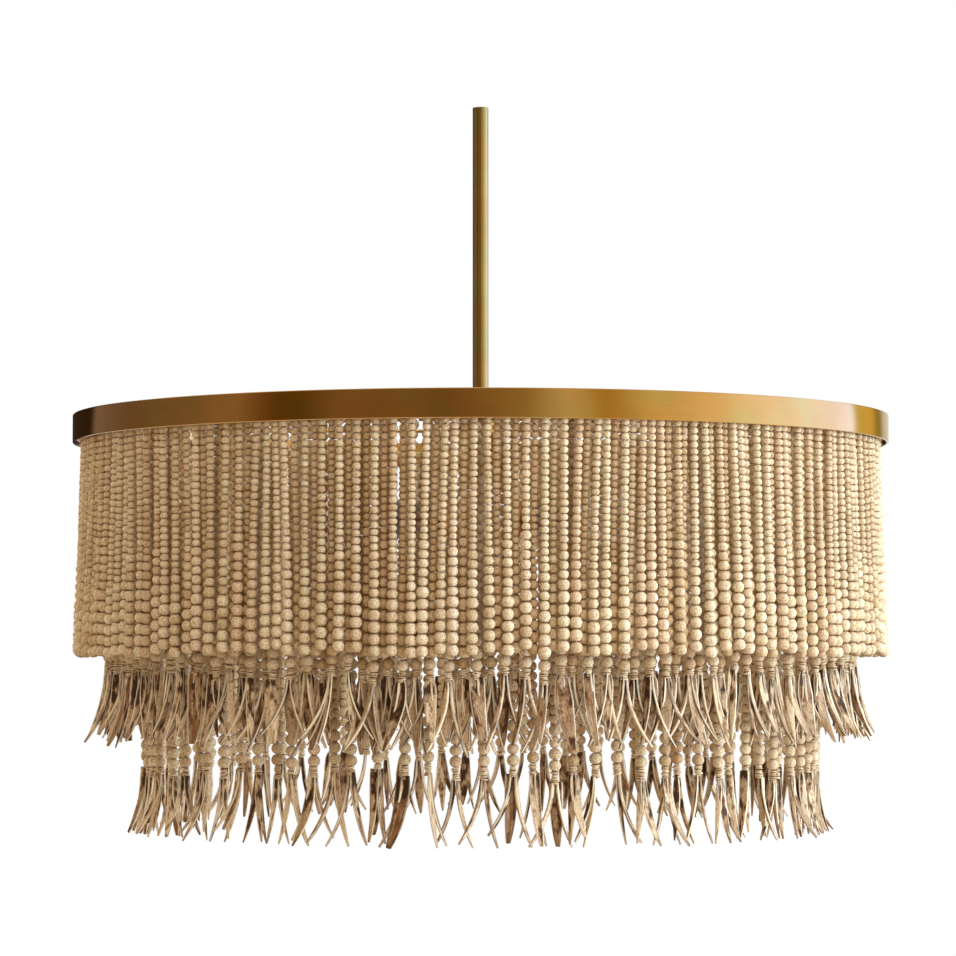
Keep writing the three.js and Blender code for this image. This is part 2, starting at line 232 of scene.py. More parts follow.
# %% [markdown]
# The light hangs, so the floor lies well below it and takes only a faint shadow. Its edge fades into the
# white of the world, so no line shows in any view.

# %% Lay the floor
FLOOR_DROP, FLOOR_RADIUS = 1.3, 9.0
FLOOR_GREY = (0.86, 0.86, 0.86, 1)
# The shares of its radius between which the floor fades, and the share of white that it has from the start
FADE_FROM, FADE_TO, LEAST_WHITE = 0.1, 0.6, 0.82
bpy.ops.mesh.primitive_circle_add(
    vertices=96, radius=FLOOR_RADIUS, fill_type="TRIFAN", location=(0, 0, cad_low.z - FLOOR_DROP)
)
floor = bpy.context.object
floor.name = "studio_floor"
material, tree, shader = principled("floor_paint", Base_Color=FLOOR_GREY, Roughness=0.9)
away = add_node(tree, "VectorMath", {0: own_place(tree)}, operation="LENGTH").outputs["Value"]
fade = ranged(tree, away, FADE_FROM * FLOOR_RADIUS, FADE_TO * FLOOR_RADIUS, LEAST_WHITE, 1.0)
glow = add_node(tree, "Emission", {"Color": WHITE, "Strength": 1.0})
surface = add_node(tree, "MixShader", {0: fade, 1: shader.outputs[0], 2: glow.outputs[0]})
tree.links.new(surface.outputs[0], tree.nodes["Material Output"].inputs["Surface"])
floor.data.materials.append(material)
floor.visible_diffuse = False
print("floor at", round(floor.location.z, 3))

# %% [markdown]
# The wood is nearly white on the right and tan on the left, so one large lamp stands at the right. A weak,
# warm one lights the front, and another the back and the left edge. Large lamps keep the shadows between
# beads soft.

# %% Place the lamps
def soft_lamp(name, place, size, watts, colour):
    """A rectangular lamp that faces the middle of the drum, and isn't seen itself."""
    data = bpy.data.lights.new(name, "AREA")
    data.shape = "RECTANGLE"
    data.size, data.size_y = size
    data.energy, data.color = watts, colour
    lamp = bpy.data.objects.new(name, data)
    lamp.location = place
    aim = Vector((0, 0, (cad_low.z + band_high.z) / 2)) - lamp.location
    lamp.rotation_euler = aim.to_track_quat("-Z", "Y").to_euler()
    lamp.visible_camera = lamp.visible_glossy = False
    bpy.context.scene.collection.objects.link(lamp)
    print(name, watts, "W")


soft_lamp("key_lamp", (4.2, -0.8, -0.1), (5.2, 4.2), 305, (0.72, 0.89, 1.0))
soft_lamp("front_lamp", (1.8, -3.9, -0.1), (2.0, 2.0), 18, (1.0, 0.80, 0.50))
soft_lamp("back_lamp", (-3.3, 2.6, 0.0), (2.8, 2.4), 160, (0.98, 0.99, 0.94))

# %% [markdown]
# Brass shows what stands round it. In a real studio that is a bright window on one side and a dim room on
# the other, and a photographer shapes it with cards. One round wall, seen only in reflections, does the
# same here: its brightness changes with the compass direction.

# %% Stand a wall round the light for its reflections
WALL_RADIUS, WALL_HEIGHT, WALL_SIDES = 7.0, 7.0, 180
# Compass angle in degrees, from the camera's side towards the right, and the red, green and blue light there
WALL_LIGHT = np.array([
    (-180, 0.04, 0.026, 0.016), (-135, 0.03, 0.014, 0.003), (-132, 0.27, 0.20, 0.14),
    (-122, 0.25, 0.18, 0.12), (-106, 0.23, 0.17, 0.10), (-68, 0.36, 0.27, 0.17), (-56, 0.16, 0.10, 0.02),
    (-48, 0.16, 0.10, 0.02), (-38, 0.28, 0.20, 0.11), (-8, 0.25, 0.18, 0.09), (12, 0.42, 0.34, 0.16),
    (23, 0.80, 0.76, 0.60), (33, 0.60, 0.47, 0.10), (46, 1.00, 1.02, 0.62), (66, 1.14, 1.24, 1.10),
    (82, 1.36, 1.76, 2.30), (100, 1.50, 1.96, 2.90), (122, 1.48, 1.98, 2.90), (125, 0.92, 0.72, 0.16),
    (137, 0.86, 0.60, 0.10), (143, 0.36, 0.24, 0.02), (147, 0.36, 0.26, 0.08), (151, 0.66, 0.58, 0.38),
    (172, 0.80, 0.80, 0.68), (176, 0.30, 0.26, 0.18), (180, 0.02, 0.016, 0.010),
])
turn = angles(WALL_SIDES)
foot = joined(np.sin(turn) * WALL_RADIUS, -np.cos(turn) * WALL_RADIUS, band_low.z - WALL_HEIGHT / 2)
here = np.arange(WALL_SIDES)
after = (here + 1) % WALL_SIDES
wall_points = np.concatenate([foot, foot + WALL_HEIGHT * UP])
wall_faces = joined(here, here + WALL_SIDES, after + WALL_SIDES, after)
wall_mesh = bpy.data.meshes.new("reflection_wall")
wall_mesh.from_pydata(wall_points.tolist(), [], wall_faces.tolist())
degrees = (np.degrees(turn) + 180) % 360 - 180
shades = joined(*(np.interp(degrees, WALL_LIGHT[:, 0], WALL_LIGHT[:, i]) for i in (1, 2, 3)), 1.0)
colours = wall_mesh.color_attributes.new("wall_light", "FLOAT_COLOR", "POINT")
colours.data.foreach_set("color", np.tile(shades, (2, 1)).astype(np.float32).ravel())
material = bpy.data.materials.new("wall_light")
material.use_nodes = True
tree = material.node_tree
tree.nodes.clear()
shade = add_node(tree, "Attribute", attribute_name="wall_light").outputs["Color"]
glow = add_node(tree, "Emission", {"Color": shade, "Strength": 1.0})
add_node(tree, "OutputMaterial", {"Surface": glow.outputs[0]})
wall_mesh.materials.append(material)
wall = bpy.data.objects.new("reflection_wall", wall_mesh)
bpy.context.scene.collection.objects.link(wall)
wall.visible_camera = wall.visible_diffuse = wall.visible_shadow = wall.visible_transmission = False
print("wall brightness", shades[:, 0].min().round(2), "to", shades[:, 0].max().round(2))

# %% [markdown]
# ## Rings of points: one way to make every form
# Beads, discs, shards, tubes and turned brass are all a stack of closed rings. Rings that close on a tip at
# each end make a solid, and rings that come back to the first make a hoop. Forms with the same number of
# rings share their faces, so thousands are made at once: the points have the shape (forms, points, 3).

# %% Faces and map of a stack of rings
PLAIN_TONE = (0.5, 0.5, 0.5, 1.0)


def ring_faces(rings, sides, hoop=False):
    """Quads between the rings, and triangles to two tips unless it is a hoop, each with its map corners."""
    k = np.arange(sides)
    after = (k + 1) % sides
    spans, rows = (rings, rings) if hoop else (rings - 1, rings + 1)
    quads, quad_map = [], []
    for i in range(spans):
        here, there = i * sides, (i + 1) % rings * sides
        quads.append(joined(here + k, here + after, there + after, there + k))
        v = (np.array([0, 0, 1, 1]) + i + (not hoop)) / rows
        quad_map.append(joined((k[:, None] + np.array([0, 1, 1, 0])) / sides, v))
    faces = [(np.concatenate(quads), np.concatenate(quad_map))]
    if not hoop:
        bottom, top, last = rings * sides, rings * sides + 1, (rings - 1) * sides
        left, middle, right = k / sides, (k + 0.5) / sides, (k + 1) / sides
        v = np.array([0, 1, 1]) / rows
        tips = [joined(bottom, after, k), joined(top, last + k, last + after)]
        tip_map = [joined(joined(middle, right, left), v), joined(joined(middle, left, right), 1 - v)]
        faces.append((np.concatenate(tips), np.concatenate(tip_map)))
    return faces


def forms(rings, tips=None, hoop=False, slot=0, tone=None, grain=None):
    """A batch of like forms. rings is (forms, rings, sides, 3), tips (forms, 2, 3) or the ends' middles."""
    count, stations, sides = rings.shape[:3]
    points = rings.reshape(count, -1, 3)
    if not hoop:
        points = np.concatenate([points, rings[:, [0, -1]].mean(2) if tips is None else tips], 1)
    tone = np.tile(PLAIN_TONE, (count, 1)) if tone is None else tone
    grain = points / MM if grain is None else grain
    return SimpleNamespace(
        points=points, faces=ring_faces(stations, sides, hoop), slot=slot, tone=tone, grain=grain
    )


# %% [markdown]
# One mesh then takes any number of batches. Each form gets its own cell of the UV map, so no two share a
# place there. The "tone" colour says how light or dark a form is, and "grain" gives the wood's own
# coordinates in millimetres, so that every bead is cut from another spot of the timber.

# %% Join batches into a piece that rides on a body
CELL_EDGE = 0.04


def piece(name, batches, materials, body, node):
    """Makes one mesh object of batches of forms, which rides on a body of the frame and stands for a node."""
    across = math.ceil(math.sqrt(sum(len(b.points) for b in batches)))
    corners, sizes, maps, slots, tones, grains = [], [], [], [], [], []
    start = cell = 0
    for b in batches:
        count, per_form = b.points.shape[:2]
        first = start + per_form * np.arange(count)
        at = np.stack(np.divmod(cell + np.arange(count), across), -1)
        for faces, corner_map in b.faces:
            corners.append((first[:, None, None] + faces).ravel())
            sizes.append(np.full(count * len(faces), faces.shape[1]))
            spread = CELL_EDGE + (1 - 2 * CELL_EDGE) * corner_map
            maps.append(((at[:, None, None] + spread) / across).reshape(-1, 2))
            slots.append(np.full(count * len(faces), b.slot))
        tones.append(np.repeat(b.tone, per_form, 0))
        grains.append(b.grain.reshape(-1, 3))
        start += count * per_form
        cell += count
    corners, sizes = np.concatenate(corners), np.concatenate(sizes)
    mesh = bpy.data.meshes.new(name)
    mesh.vertices.add(start)
    mesh.vertices.foreach_set("co", np.concatenate([b.points.reshape(-1, 3) for b in batches]).ravel())
    mesh.loops.add(len(corners))
    mesh.loops.foreach_set("vertex_index", corners)
    mesh.polygons.add(len(sizes))
    mesh.polygons.foreach_set("loop_start", np.concatenate([[0], np.cumsum(sizes)[:-1]]))
    mesh.polygons.foreach_set("material_index", np.concatenate(slots))
    mesh.update(calc_edges=True)
    mesh.shade_smooth()
    mesh.uv_layers.new(name="OFBake").data.foreach_set("uv", np.concatenate(maps).astype(np.float32).ravel())
    tone = mesh.attributes.new("tone", "FLOAT_COLOR", "POINT")
    tone.data.foreach_set("color", np.concatenate(tones).astype(np.float32).ravel())
    grain = mesh.attributes.new("grain", "FLOAT_VECTOR", "POINT")
    grain.data.foreach_set("vector", np.concatenate(grains).astype(np.float32).ravel())
    for material in materials:
        mesh.materials.append(material)
    made = bpy.data.objects.new(name, mesh)
    bpy.context.scene.collection.objects.link(made)
    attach(made, body)
    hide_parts(node)


def fixed(name, node, batches, material):
    """A piece of the part that doesn't move."""
    piece(name, batches, [material], "fixture", node)
    print(name, "stands for", node)


# %% [markdown]
# ## Brass
# The band and rod are satin antique brass: a brown-gold metal with fine drawn lines, cloudier in places and a
# little darker where the lacquer is thick, with faint reddish and olive blotches. The colour of a metal is
# its Base Color, and a thin clear coat gives the pale highlight. The direction of the drawn lines differs
# from piece to piece. The rod is a little greener, and also darker as painted shade for the dimmer
# surroundings that it reflects, so both are arguments.

# %% Make the satin brass
RED_TINT, OLIVE_TINT = (1.06, 0.94, 0.84, 1), (0.94, 1.04, 0.98, 1)
BAND_COLOURS = (0.56, 0.29, 0.072, 1), (0.47, 0.225, 0.050, 1), (0.66, 0.40, 0.14, 1)
# The rod's colours are darker than the band's: painted shade for the dimmer surroundings that it reflects
ROD_SHADED_COLOURS = (0.46, 0.31, 0.115, 1), (0.37, 0.24, 0.080, 1), (0.56, 0.42, 0.20, 1)


def satin_brass(name, fineness, colours=BAND_COLOURS):
    """Brass with drawn lines. fineness is that of the lines along x, y and z, per metre."""
    clear, dark, worn = colours
    material, tree, shader = principled(
        name, Metallic=1.0, Coat_Weight=0.8, Coat_Roughness=0.08, Coat_IOR=1.5
    )
    place = own_place(tree)
    lines = noise(tree, place, fineness, 4.0, 0.6)
    clouds = noise(tree, place, 14.0, 3.0, 0.55)
    base = mixed(tree, ranged(tree, clouds, 0.35, 0.7), clear, dark)
    base = with_stain(tree, base, lines, 0.3, 0.7, 0.16, worn)
    blotches = ranged(tree, noise(tree, place, 23.0), 0.38, 0.62)
    base = mixed(tree, 1.0, base, mixed(tree, blotches, RED_TINT, OLIVE_TINT), "MULTIPLY")
    link_finish(tree, shader, base, ranged(tree, lines, 0.3, 0.7, 0.08, 0.14), lines, 0.06, 0.2 * MM)
    return material


band_brass = satin_brass("band_brass", (9.0, 9.0, 900.0))
rod_brass = satin_brass("rod_brass", (700.0, 700.0, 12.0), ROD_SHADED_COLOURS)
turned_brass = satin_brass("turned_brass", (60.0, 60.0, 900.0))
print("brass finishes", band_brass.name, rod_brass.name, turned_brass.name)

# %% [markdown]
# ## Band, rod and collar
# All three are turned forms: a profile of radii and heights swept round the Z axis. Sharp corners catch no
# light, so each edge gets a small round of its own.

# %% Turn the band, rod and collar
def rounded_profile(corners, round_by, steps=3, closed=True):
    """A profile, or with closed=False an open path, whose corners are rounded. corners are given in order."""
    corners = np.array(corners, float)
    count = len(corners)
    made = []
    for i, here in enumerate(corners):
        if not closed and i in (0, count - 1):
            made.append(here)
            continue
        before, behind = corners[i - 1] - here, corners[(i + 1) % count] - here
        reach = min(round_by, 0.45 * np.linalg.norm(before), 0.45 * np.linalg.norm(behind))
        start = here + before / np.linalg.norm(before) * reach
        end = here + behind / np.linalg.norm(behind) * reach
        for t in np.linspace(0, 1, steps + 1):
            made.append((1 - t) ** 2 * start + 2 * t * (1 - t) * here + t**2 * end)
    return np.array(made)


def turned_rings(profile, sides):
    """Rings of a profile of radii and heights turned about Z, as (1, rings, sides, 3)."""
    turn = angles(sides)
    radius, height = np.array(profile).T[..., None]
    return joined(radius * np.cos(turn), radius * np.sin(turn), height)[None]


def turned(profile, sides):
    """A closed profile turned about Z."""
    return forms(turned_rings(profile, sides), hoop=True)


def tube(node, wall, round_by, sides):
    """A plain tube as wide and tall as a node, with the edges of its wall rounded."""
    low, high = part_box(node)
    inner = high.x - wall
    corners = [(inner, low.z), (high.x, low.z), (high.x, high.z), (inner, high.z)]
    return turned(rounded_profile(corners, round_by), sides)


BAND_WALL, ROD_WALL = 2.5 * MM, 1.8 * MM
fixed("band_turned", "band", [tube("band", BAND_WALL, 0.8 * MM, 288)], band_brass)
fixed("down_rod_drawn", "down_rod", [tube("down_rod", ROD_WALL, 0.4 * MM, 64)], rod_brass)

BORE_GAP = 0.3 * MM
COLLAR_STEP, COLLAR_SLOPE = 2.2 * MM, 1.6 * MM
collar_low, collar_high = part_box("rod_collar")
rod_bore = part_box("down_rod")[1].x + BORE_GAP
step = collar_high.z - COLLAR_STEP
collar_profile = rounded_profile(
    [
        (rod_bore, collar_low.z), (collar_high.x, collar_low.z), (collar_high.x, step - COLLAR_SLOPE),
        (collar_high.x - 1.4 * MM, step), (collar_high.x - COLLAR_SLOPE, collar_high.z),
        (rod_bore, collar_high.z),
    ],
    0.5 * MM,
)
fixed("rod_collar_turned", "rod_collar", [turned(collar_profile, 64)], turned_brass)

# %% [markdown]
# ## Spider
# The spider carries everything: a turned hub and four flat arms whose ends turn down inside the band. An
# arm is one bar bent along a path, so its rings are a rounded rectangle carried along that path.

# %% Helpers for bars that follow a path
def unit(vectors):
    """The same directions, one metre long."""
    return vectors / np.linalg.norm(vectors, axis=-1, keepdims=True)


def sides_of(path, across, closed=False):
    """Unit vectors sideways and through along paths (forms, stations, 3). across is about sideways."""
    heading = unit(np.roll(path, -1, 1) - np.roll(path, 1, 1) if closed else np.gradient(path, axis=1))
    side = unit(across - (across * heading).sum(-1, keepdims=True) * heading)
    return side, np.cross(heading, side)


def along_path(path, section, across, closed=False):
    """Rings of a section carried along paths. across is each bar's own sideways."""
    side, through = sides_of(path, across, closed)
    x, y = section.T
    return path[:, :, None] + x[:, None] * side[:, :, None] + y[:, None] * through[:, :, None]


def rounded_bar(width, depth, round_by):
    """Section of a flat bar, as (points, 2): first across the bar, then through its thickness."""
    w, d = width / 2, depth / 2
    return rounded_profile([(-w, -d), (w, -d), (w, d), (-w, d)], round_by, 2)


def radial(angle):
    """Unit vectors outwards and sideways at an angle round Z, with a last axis of 3."""
    cos, sin = np.cos(angle), np.sin(angle)
    return joined(cos, sin, 0.0), joined(-sin, cos, 0.0)


# %% Bend the arms and turn the hub
ARM_COUNT = 4
ARM_WIDTH, ARM_DEPTH, ARM_TAB = 14 * MM, 3.6 * MM, 3 * MM
ARM_DROP, ARM_TAB_DROP, ARM_SEAT = 10.7 * MM, 9.5 * MM, 0.4 * MM
ARM_ROOT, ARM_BEND = 4 * MM, 2.4 * MM
HUB_RADIUS, HUB_BEVEL, SOCKET_DEPTH = 22 * MM, 3 * MM, 12 * MM
hub_low, hub_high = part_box("spider")
band_inside = BAND_RADIUS - BAND_WALL
arm_top = band_high.z - ARM_DROP
arm_middle, arm_reach = arm_top - ARM_DEPTH / 2, band_inside - ARM_SEAT - ARM_TAB / 2
bends = [(HUB_RADIUS - ARM_ROOT, arm_middle), (arm_reach, arm_middle), (arm_reach, arm_top - ARM_TAB_DROP)]
bends = rounded_profile(bends, ARM_BEND, 5, closed=False)
outwards, sideways = radial(angles(ARM_COUNT))
arm_paths = bends[:, 0, None] * outwards[:, None] + bends[:, 1, None] * UP
arms = forms(along_path(arm_paths, rounded_bar(ARM_WIDTH, ARM_TAB, 0.6 * MM), sideways[:, None]))
pipe_low, pipe_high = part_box("threaded_pipe")
pipe_bore = pipe_high.x + BORE_GAP
hub_profile = rounded_profile(
    [
        (pipe_bore, hub_low.z), (HUB_RADIUS - HUB_BEVEL, hub_low.z), (HUB_RADIUS, hub_low.z + HUB_BEVEL),
        (HUB_RADIUS, hub_high.z - HUB_BEVEL), (HUB_RADIUS - HUB_BEVEL, hub_high.z), (rod_bore, hub_high.z),
        (rod_bore, hub_high.z - SOCKET_DEPTH), (pipe_bore, hub_high.z - SOCKET_DEPTH),
    ],
    0.8 * MM,
)
fixed("spider_welded", "spider", [turned(hub_profile, 72), arms], turned_brass)

# %% [markdown]
# ## Hanger rings
# Three hoops of round wire hang under the arms. A torus could come from Blender's own operator, but a turned
# circle does it with the helper that is already here.

# %% Turn the wire rings
WIRE_RADIUS = 2.5 * MM
TIERS = ("outer", "middle", "inner")
HINGE_RADIUS, HINGE_Z, HINGE_TURN = {}, {}, {}
for joint in frame["joints"]:
    tier = joint["name"].split("_")[0]
    if tier in TIERS and joint["name"].endswith("_01"):
        x, y, HINGE_Z[tier] = joint["pos_m"]
        HINGE_RADIUS[tier], HINGE_TURN[tier] = math.hypot(x, y), math.atan2(y, x)
around = angles(16)
for tier in TIERS:
    reach, level = HINGE_RADIUS[tier], HINGE_Z[tier]
    wire = joined(reach + WIRE_RADIUS * np.cos(around), level + WIRE_RADIUS * np.sin(around))
    fixed(f"{tier}_wire_ring", f"{tier}_hanger_ring", [turned(wire, 240)], rod_brass)
print("first panels at", {tier: round(math.degrees(turn)) for tier, turn in HINGE_TURN.items()})

# %% [markdown]
# ## Lamp cluster
# Below the hub a threaded pipe carries an eight-sided body between a nut and a finial. The thread is real
# geometry: each ring of the pipe swells where the helix passes. Nut and body are turned forms too, with a
# radius that follows a polygon instead of a circle.

# %% Cut the threaded pipe
THREAD_PITCH, THREAD_DEPTH = 1.0 * MM, 0.35 * MM
PIPE_WALL, PIPE_SIDES = 1.4 * MM, 28


def threaded_rings(levels, sides, pitch, radius_at):
    """Rings of a screw thread at some levels. radius_at gives the radius after a number of turns."""
    turn = angles(sides)
    radius = radius_at(levels[:, None] / pitch - turn / (2 * np.pi))
    return joined(radius * np.cos(turn), radius * np.sin(turn), levels[:, None])


def pipe_radius(turns):
    """A sharp thread: straight flanks from crest to root and back."""
    return pipe_high.x - THREAD_DEPTH * np.abs(2 * (turns % 1) - 1)


levels = np.arange(pipe_low.z, pipe_high.z, THREAD_PITCH / 3)
thread = threaded_rings(levels, PIPE_SIDES, THREAD_PITCH, pipe_radius)
pipe_inside = turned_rings([(pipe_high.x - PIPE_WALL, levels[i]) for i in (-1, 0)], PIPE_SIDES)[0]
pipe = forms(np.concatenate([thread, pipe_inside])[None], hoop=True)
fixed("threaded_pipe_cut", "threaded_pipe", [pipe], turned_brass)
print("thread turns", round((levels[-1] - levels[0]) / THREAD_PITCH))

# %% Shape the nuts, cluster body and finial
def sided(profile, sides, corners):
    """A turned hoop whose outer points follow a polygon. profile is (radius, height, share of polygon)."""
    turn = angles(sides)
    step = 2 * np.pi / corners
    stretch = 1 / np.cos((turn + step / 2) % step - step / 2)
    radius, height, share = np.array(profile).T[..., None]
    reach = radius * (1 + share * (stretch - 1))
    return forms(joined(reach * np.cos(turn), reach * np.sin(turn), height)[None], hoop=True)


steel, tree, shader = principled("zinc_steel", Metallic=1.0, Base_Color=(0.62, 0.62, 0.60, 1))
spangle = add_node(tree, "TexVoronoi", {"Vector": own_place(tree), "Scale": 420.0}).outputs["Distance"]
link_finish(tree, shader, roughness=ranged(tree, spangle, 0, 0.8, 0.3, 0.5))

NUT_BEVEL, NUT_FACE_SHARE = 0.9 * MM, 0.93
for name in ("hub_nut", "cluster_nut"):
    low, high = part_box(name)
    flat, face, mouth = high.x, high.x * NUT_FACE_SHARE, pipe_bore + NUT_BEVEL
    profile = [
        (pipe_bore, low.z + NUT_BEVEL, 0), (mouth, low.z, 0), (face, low.z, 0), (flat, low.z + NUT_BEVEL, 1),
        (flat, high.z - NUT_BEVEL, 1), (face, high.z, 0), (mouth, high.z, 0),
        (pipe_bore, high.z - NUT_BEVEL, 0),
    ]
    fixed(name + "_cut", name, [sided(profile, 72, 6)], steel)

CLUSTER_ROUND = 3 * MM
low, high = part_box("cluster_body")
flat, cluster_middle = high.x, (low.z + high.z) / 2
quarter = np.linspace(0, math.pi / 2, 5)
edge = list(zip(flat - CLUSTER_ROUND * (1 - np.sin(quarter)), CLUSTER_ROUND * (1 - np.cos(quarter))))
profile = [(pipe_bore, low.z, 0)] + [(reach, low.z + up, 1) for reach, up in edge]
profile += [(reach, high.z - up, 1) for reach, up in reversed(edge)] + [(pipe_bore, high.z, 0)]
fixed("cluster_body_cast", "cluster_body", [sided(profile, 96, 8)], turned_brass)

# Shares of the finial's radius, and of its height there
FINIAL_SHARES = (
    (0.30, 0.0), (0.42, 0.04), (0.50, 0.14), (0.60, 0.26), (0.63, 0.40), (0.60, 0.52), (0.52, 0.58),
    (0.52, 0.62), (0.70, 0.66), (0.96, 0.74), (1.0, 0.80), (1.0, 0.94), (0.95, 1.0),
)
FINIAL_BORE_DEPTH = 7.3 * MM
low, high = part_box("finial")
profile = [(high.x * across, low.z + (high.z - low.z) * up) for across, up in FINIAL_SHARES]
profile += [(pipe_bore, high.z), (pipe_bore, high.z - FINIAL_BORE_DEPTH)]
fixed("finial_turned", "finial", [forms(turned_rings(profile, 64))], turned_brass)
print("cluster", round(2 * flat, 4), "m across its flats")

# %% [markdown]
# ## Lampholders and bulbs
# Four moulded holders stand out from the flats of the body, each with a screw-base bulb. Both are turned
# about the line that points outwards, so the rings are made upright and then laid on their side. None of
# this shows in the photograph, so the forms are those of ordinary fittings.

# %% Make the moulding, opal glass and nickel
phenolic, tree, shader = principled("moulded_brown")
swirl = noise(tree, own_place(tree), 160.0, 3.0)
browns = mixed(tree, swirl, (0.062, 0.038, 0.024, 1), (0.105, 0.068, 0.044, 1))
link_finish(tree, shader, browns, ranged(tree, swirl, 0.3, 0.7, 0.32, 0.5))

opal, tree, shader = principled(
    "opal_glass", Roughness=0.12, IOR=1.5, Subsurface_Weight=0.25, Subsurface_Scale=0.01
)
milk = noise(tree, own_place(tree), 30.0)
link_finish(tree, shader, mixed(tree, milk, (0.86, 0.83, 0.76, 1), (0.92, 0.9, 0.85, 1)))

nickel, tree, shader = principled("nickel_cap", Metallic=1.0, Base_Color=(0.55, 0.52, 0.46, 1))
rub = noise(tree, own_place(tree), 500.0)
link_finish(tree, shader, roughness=ranged(tree, rub, 0.3, 0.7, 0.22, 0.4))
print("lamp finishes", phenolic.name, opal.name, nickel.name)

# %% Mould the holders
HOLDER_RADIUS, HOLDER_LENGTH, HOLDER_FLOOR = 17.5 * MM, 46 * MM, 18 * MM
CAP_RADIUS, CAP_PROUD, SEAT = 13 * MM, 2.5 * MM, 0.3 * MM
# Each point's distance outside the holder's radius, and from its foot, in millimetres
HOLDER_FOOT = [(-3, 0), (-0.9, 0.9), (0, 3)]
HOLDER_RIB = [(0, 0), (-0.7, 0.8), (-0.7, 1.4), (0, 2.2)]
HOLDER_COLLAR = [(0, 36), (1.5, 36.2), (2, 37), (2, 45), (1, 46)]
RIBS, FIRST_RIB, RIB_PITCH = 7, 8, 3.4
MOUTH_BEVEL = 0.6 * MM

ribs = [(out, FIRST_RIB + RIB_PITCH * i + along) for i in range(RIBS) for out, along in HOLDER_RIB]
profile = [(HOLDER_RADIUS + out * MM, along * MM) for out, along in HOLDER_FOOT + ribs + HOLDER_COLLAR]
cap_bore = CAP_RADIUS + BORE_GAP
profile += [(cap_bore + MOUTH_BEVEL, HOLDER_LENGTH), (cap_bore, HOLDER_LENGTH - MOUTH_BEVEL)]
profile.append((cap_bore, HOLDER_FLOOR))
holder_rings = turned_rings(profile, 56)[0]
print("holder", round(HOLDER_LENGTH / MM), "mm long with", RIBS, "ribs")

# %% Turn the caps and blow the bulbs
SCREW_START, SCREW_PITCH, SCREW_DEPTH, CAP_SIDES = 6 * MM, 3.6 * MM, 0.9 * MM, 48
# Radius and height of the contact and the insulator round it, in millimetres
CONTACT = np.array([(3, 0.1), (4.5, 0.8), (5, 2), (9, 3.4), (11.4, 5)])
GLASS_RADIUS, GLASS_LENGTH = 29.5 * MM, 80 * MM
# Shares of the glass's length, and of its greatest radius there
GLASS_SHARES = (
    (0, 0.42), (0.08, 0.46), (0.26, 0.72), (0.4, 0.9), (0.56, 1), (0.7, 0.96), (0.84, 0.79), (0.93, 0.55),
    (0.98, 0.32), (1, 0.1),
)


def cap_radius(turns):
    """A rolled thread, as round in its crests as in its roots."""
    return CAP_RADIUS - SCREW_DEPTH * (0.5 + 0.5 * np.cos(2 * np.pi * turns))


cap_length = HOLDER_LENGTH - HOLDER_FLOOR - SEAT + CAP_PROUD
screw = threaded_rings(np.linspace(SCREW_START, cap_length, 48), CAP_SIDES, SCREW_PITCH, cap_radius)
contact = turned_rings(CONTACT * MM, CAP_SIDES)[0]
neck = turned_rings([(CAP_RADIUS - 1.5 * MM, cap_length + 1 * MM)], CAP_SIDES)[0]
cap_rings = np.concatenate([contact, screw, neck])
t = np.linspace(0, 1, 26)
glass_shape = np.interp(t, *np.array(GLASS_SHARES).T)
for _ in range(3):
    glass_shape[1:-1] = (glass_shape[:-2] + 2 * glass_shape[1:-1] + glass_shape[2:]) / 4
glass_levels = cap_length + 0.5 * MM + (GLASS_LENGTH - 0.7 * MM) * t
glass_rings = turned_rings(joined(GLASS_RADIUS * glass_shape, glass_levels), 56)[0]
print("bulb", round((cap_length + GLASS_LENGTH) / MM), "mm long")

# %% Lay holders and bulbs on their sides round the body
LAMPS = 4


def laid_out(rings, angle, start, slot=0):
    """Upright rings turned so that their Z points outwards at an angle, from a start radius at mid-height."""
    outwards, sideways = radial(angle)
    start = start * outwards + cluster_middle * UP
    x, y, z = rings[..., 0:1], rings[..., 1:2], rings[..., 2:3]
    return forms((start + z * outwards + x * sideways + y * UP)[None], slot=slot)


for number, angle in enumerate(angles(LAMPS), 1):
    holder = laid_out(holder_rings, angle, flat + SEAT)
    fixed(f"lampholder_{number}_ribbed", f"lampholder_{number}", [holder], phenolic)
    bulb_start = flat + SEAT + HOLDER_FLOOR + SEAT
    bulb = [laid_out(glass_rings, angle, bulb_start), laid_out(cap_rings, angle, bulb_start, slot=1)]
    piece(f"bulb_{number}_blown", bulb, [opal, nickel], f"bulb_{number}_body", f"bulb_{number}")
print("bulbs reach", round(bulb_start + cap_length + GLASS_LENGTH, 4), "m from the rod")

# %% [markdown]
# ## Wood of the beads
# The beads are raw, unvarnished wood: cream to tan, each a little different, with flecks and faint growth
# lines. Their ends, round the hole where one bead meets the next, are darkened with painted shade. The
# material reads each bead's "tone" and "grain", so one material serves them all and still no two look alike.

# %% Make the raw bead wood
def wood_places(tree):
    """The form's own coordinates, its tone, and a spot in the timber that no other form shares."""
    grain = add_node(tree, "Attribute", attribute_name="grain").outputs["Vector"]
    tone = add_node(tree, "Attribute", attribute_name="tone").outputs["Color"]
    spread = {0: tone, 1: (317.0, 471.0, 733.0), 2: grain}
    spot = add_node(tree, "VectorMath", spread, operation="MULTIPLY_ADD").outputs[0]
    return grain, add_node(tree, "SeparateColor", {0: tone}).outputs, spot


def part_of(tree, grain, axis):
    """One of the three coordinates of grain."""
    return add_node(tree, "SeparateXYZ", {0: grain}).outputs[axis]


TAN_WOOD, CREAM_WOOD = (0.60, 0.46, 0.30, 1), (0.89, 0.82, 0.68, 1)
GREEN_TINT, PINK_TINT = (0.97, 0.985, 0.90, 1), (1.0, 0.93, 0.90, 1)
GROWTH_LINE, FLECK, BEAD_END_SHADE = (0.74, 0.60, 0.43, 1), (0.56, 0.40, 0.26, 1), (0.36, 0.19, 0.08, 1)
END_HALF = 5.0

